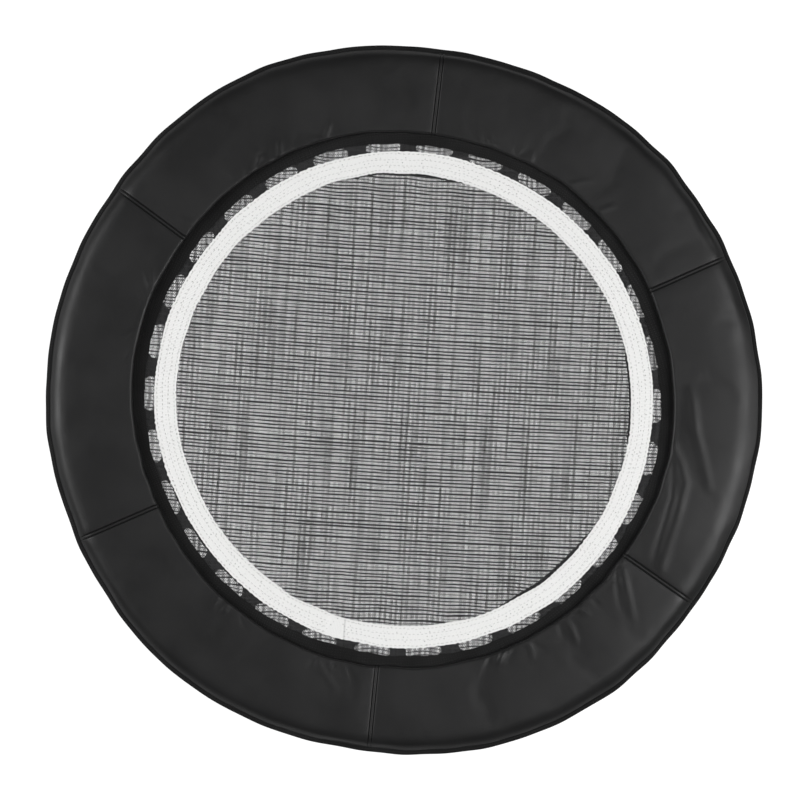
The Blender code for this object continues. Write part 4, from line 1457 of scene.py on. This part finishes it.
class TRAMPOLINE_OT_pad_back(bpy.types.Operator):
    """Builds the lining under the pad and the elastic straps that hold it to the ring"""

    bl_idname = "trampoline.pad_back"
    bl_label = "Pad lining and straps"

    def execute(self, context):
        sizes, pad = context.scene.trampoline_frame, context.scene.trampoline_pad
        add_piece(
            "pad_back", lining_shape(pad, sizes), "woven_lining",
            body="frame", slot="lining_cloth", replaces=["pad_lining"], sharp=60,
        )
        strap = strap_shape(sizes, pad, context.scene.trampoline_mat.webbing)
        add_piece(
            "elastic_straps", turned_copies(strap, round_angles(pad.first_strap, pad.panel_count)),
            "woven_black_tape", body="frame", slot="black_webbing", sharp=50,
        )
        return {"FINISHED"}


class TRAMPOLINE_OT_legs(bpy.types.Operator):
    """Builds each leg with its saddle and rubber foot"""

    bl_idname = "trampoline.legs"
    bl_label = "Legs"

    def execute(self, context):
        sizes = context.scene.trampoline_frame
        saddle = moved(saddle_shape(sizes), (0, 0, sizes.ring_height))
        # Name, shape, finish, body, slot, CAD node
        pieces = (
            ("saddle", saddle, "moulded_plastic", "leg_saddle", "black_plastic", "leg_saddle"),
            ("leg_tube", leg_shape(sizes), "satin_powder_coat", "leg", "powder_coat", "leg"),
            ("rubber_foot", foot_shape(sizes), "moulded_rubber", "leg", "rubber", "foot"),
        )
        for at, angle in enumerate(round_angles(sizes.first_leg, sizes.leg_count), 1):
            for name, shape, finish, body, slot, node in pieces:
                placed = turned_copies(moved(shape, (sizes.ring_radius, 0, 0)), angle)
                add_piece(
                    f"{name}_{at}", placed, finish,
                    body=f"{body}_{at}", slot=slot, replaces=[f"{node}_{at}"], sharp=35,
                )
        return {"FINISHED"}


# Stage -----------------------------------------------------------------------------------------

FLOOR_REACH, FLOOR_DROP = 20.0, 0.0005
FLOOR_GLOW, GLOW_SHARE = 1.22, 0.75
SKY_LIGHT = 0.145
CAMERA_PLACE, SENSOR, LENS = (-0.004, -0.0004, 4.215), 36.0, 138.7

# Name, place, size and radiance of each lamp
LAMPS = (
    ("right_softbox", (1.36, -0.24, 2.04), (0.74, 1.14), 13.6),
    ("left_softbox", (-1.95, 0.17, 1.75), (0.86, 1.46), 10.8),
)


def add_light(name, location, size, radiance):
    """A rectangular lamp of even radiance, facing the trampoline."""
    lamp = bpy.data.lights.new(name, "AREA")
    lamp.shape = "RECTANGLE"
    lamp.size, lamp.size_y = size
    lamp.energy = radiance * math.pi * size[0] * size[1]
    light = bpy.data.objects.new(name, lamp)
    light.location = location
    light.rotation_euler = (-light.location).to_track_quat("-Z", "Y").to_euler()
    bpy.context.scene.collection.objects.link(light)


def add_floor():
    """A white floor that takes the shadow; to the eye it also glows, so that it shows white."""
    nodes, shader, _ = new_material("white_floor")
    shader.inputs["Base Color"].default_value = (0.95, 0.95, 0.95, 1)
    shader.inputs["Roughness"].default_value = 1.0
    shader.inputs["Specular IOR Level"].default_value = 0.0
    path = nodes.add("LightPath").outputs
    seen = nodes.math("MAXIMUM", path["Is Camera Ray"], path["Is Glossy Ray"])
    seen = nodes.math("MAXIMUM", seen, path["Is Transmission Ray"])
    share = nodes.math("MULTIPLY", seen, GLOW_SHARE)
    glow = nodes.add("Emission", {"Strength": FLOOR_GLOW}).outputs[0]
    mixed = nodes.add("MixShader", {0: share, 1: shader.outputs[0], 2: glow}).outputs[0]
    nodes.put(nodes.tree.nodes["Material Output"].inputs["Surface"], mixed)
    ends = (-FLOOR_REACH, FLOOR_REACH)
    corners = np.stack(np.meshgrid(ends, ends, (-FLOOR_DROP,), indexing="ij"), -1)[:, :, 0]
    add_piece("floor", grid(corners), "white_floor")


class TRAMPOLINE_OT_stage(bpy.types.Operator):
    """Builds the white floor, the lamps, the surroundings and the camera straight above"""

    bl_idname = "trampoline.stage"
    bl_label = "Stage"

    def execute(self, context):
        scene = context.scene
        add_floor()
        for lamp in LAMPS:
            add_light(*lamp)

        world = bpy.data.worlds.new("surroundings")
        world.use_nodes = True
        nodes = NodeTree(world.node_tree)
        seen = nodes.add("LightPath").outputs["Is Camera Ray"]
        sky = nodes.mix(seen, (SKY_LIGHT, SKY_LIGHT, SKY_LIGHT, 1), (1, 1, 1, 1))
        nodes.put(world.node_tree.nodes["Background"].inputs["Color"], sky)
        scene.world = world

        camera_data = bpy.data.cameras.new("overhead_camera")
        camera_data.sensor_width, camera_data.lens = SENSOR, LENS
        camera = bpy.data.objects.new("overhead_camera", camera_data)
        camera.location = CAMERA_PLACE
        scene.collection.objects.link(camera)
        scene.camera = camera
        scene.view_settings.view_transform = "Standard"
        return {"FINISHED"}


class TRAMPOLINE_PT_pieces(bpy.types.Panel):
    """Lists the trampoline's pieces"""

    bl_idname = "TRAMPOLINE_PT_pieces"
    bl_label = "Mini trampoline"
    bl_space_type = "VIEW_3D"
    bl_region_type = "UI"
    bl_category = "Trampoline"

    def draw(self, context):
        for operator in OPERATORS:
            self.layout.operator(operator.bl_idname)
        for group in SETTINGS:
            box = self.layout.box()
            settings = getattr(context.scene, group)
            for name in settings.bl_rna.properties.keys():
                if name not in ("rna_type", "name"):
                    box.prop(settings, name)


SETTINGS = {
    "trampoline_frame": FrameSizes,
    "trampoline_mat": MatSizes,
    "trampoline_pad": PadSizes,
    "trampoline_finishes": Finishes,
}
# In the order in which they are run
OPERATORS = (
    TRAMPOLINE_OT_finishes,
    TRAMPOLINE_OT_stage,
    TRAMPOLINE_OT_ring,
    TRAMPOLINE_OT_springs,
    TRAMPOLINE_OT_mat,
    TRAMPOLINE_OT_pad,
    TRAMPOLINE_OT_pad_trim,
    TRAMPOLINE_OT_pad_back,
    TRAMPOLINE_OT_legs,
)
CLASSES = (*SETTINGS.values(), *OPERATORS, TRAMPOLINE_PT_pieces)


def register():
    for cls in CLASSES:
        bpy.utils.register_class(cls)
    for name, group in SETTINGS.items():
        setattr(bpy.types.Scene, name, PointerProperty(type=group))


def unregister():
    for name in SETTINGS:
        delattr(bpy.types.Scene, name)
    for cls in reversed(CLASSES):
        bpy.utils.unregister_class(cls)


def main():
    register()
    for operator in OPERATORS:
        getattr(bpy.ops.trampoline, operator.bl_idname.split(".")[1])()


if __name__ == "__main__":
    main()
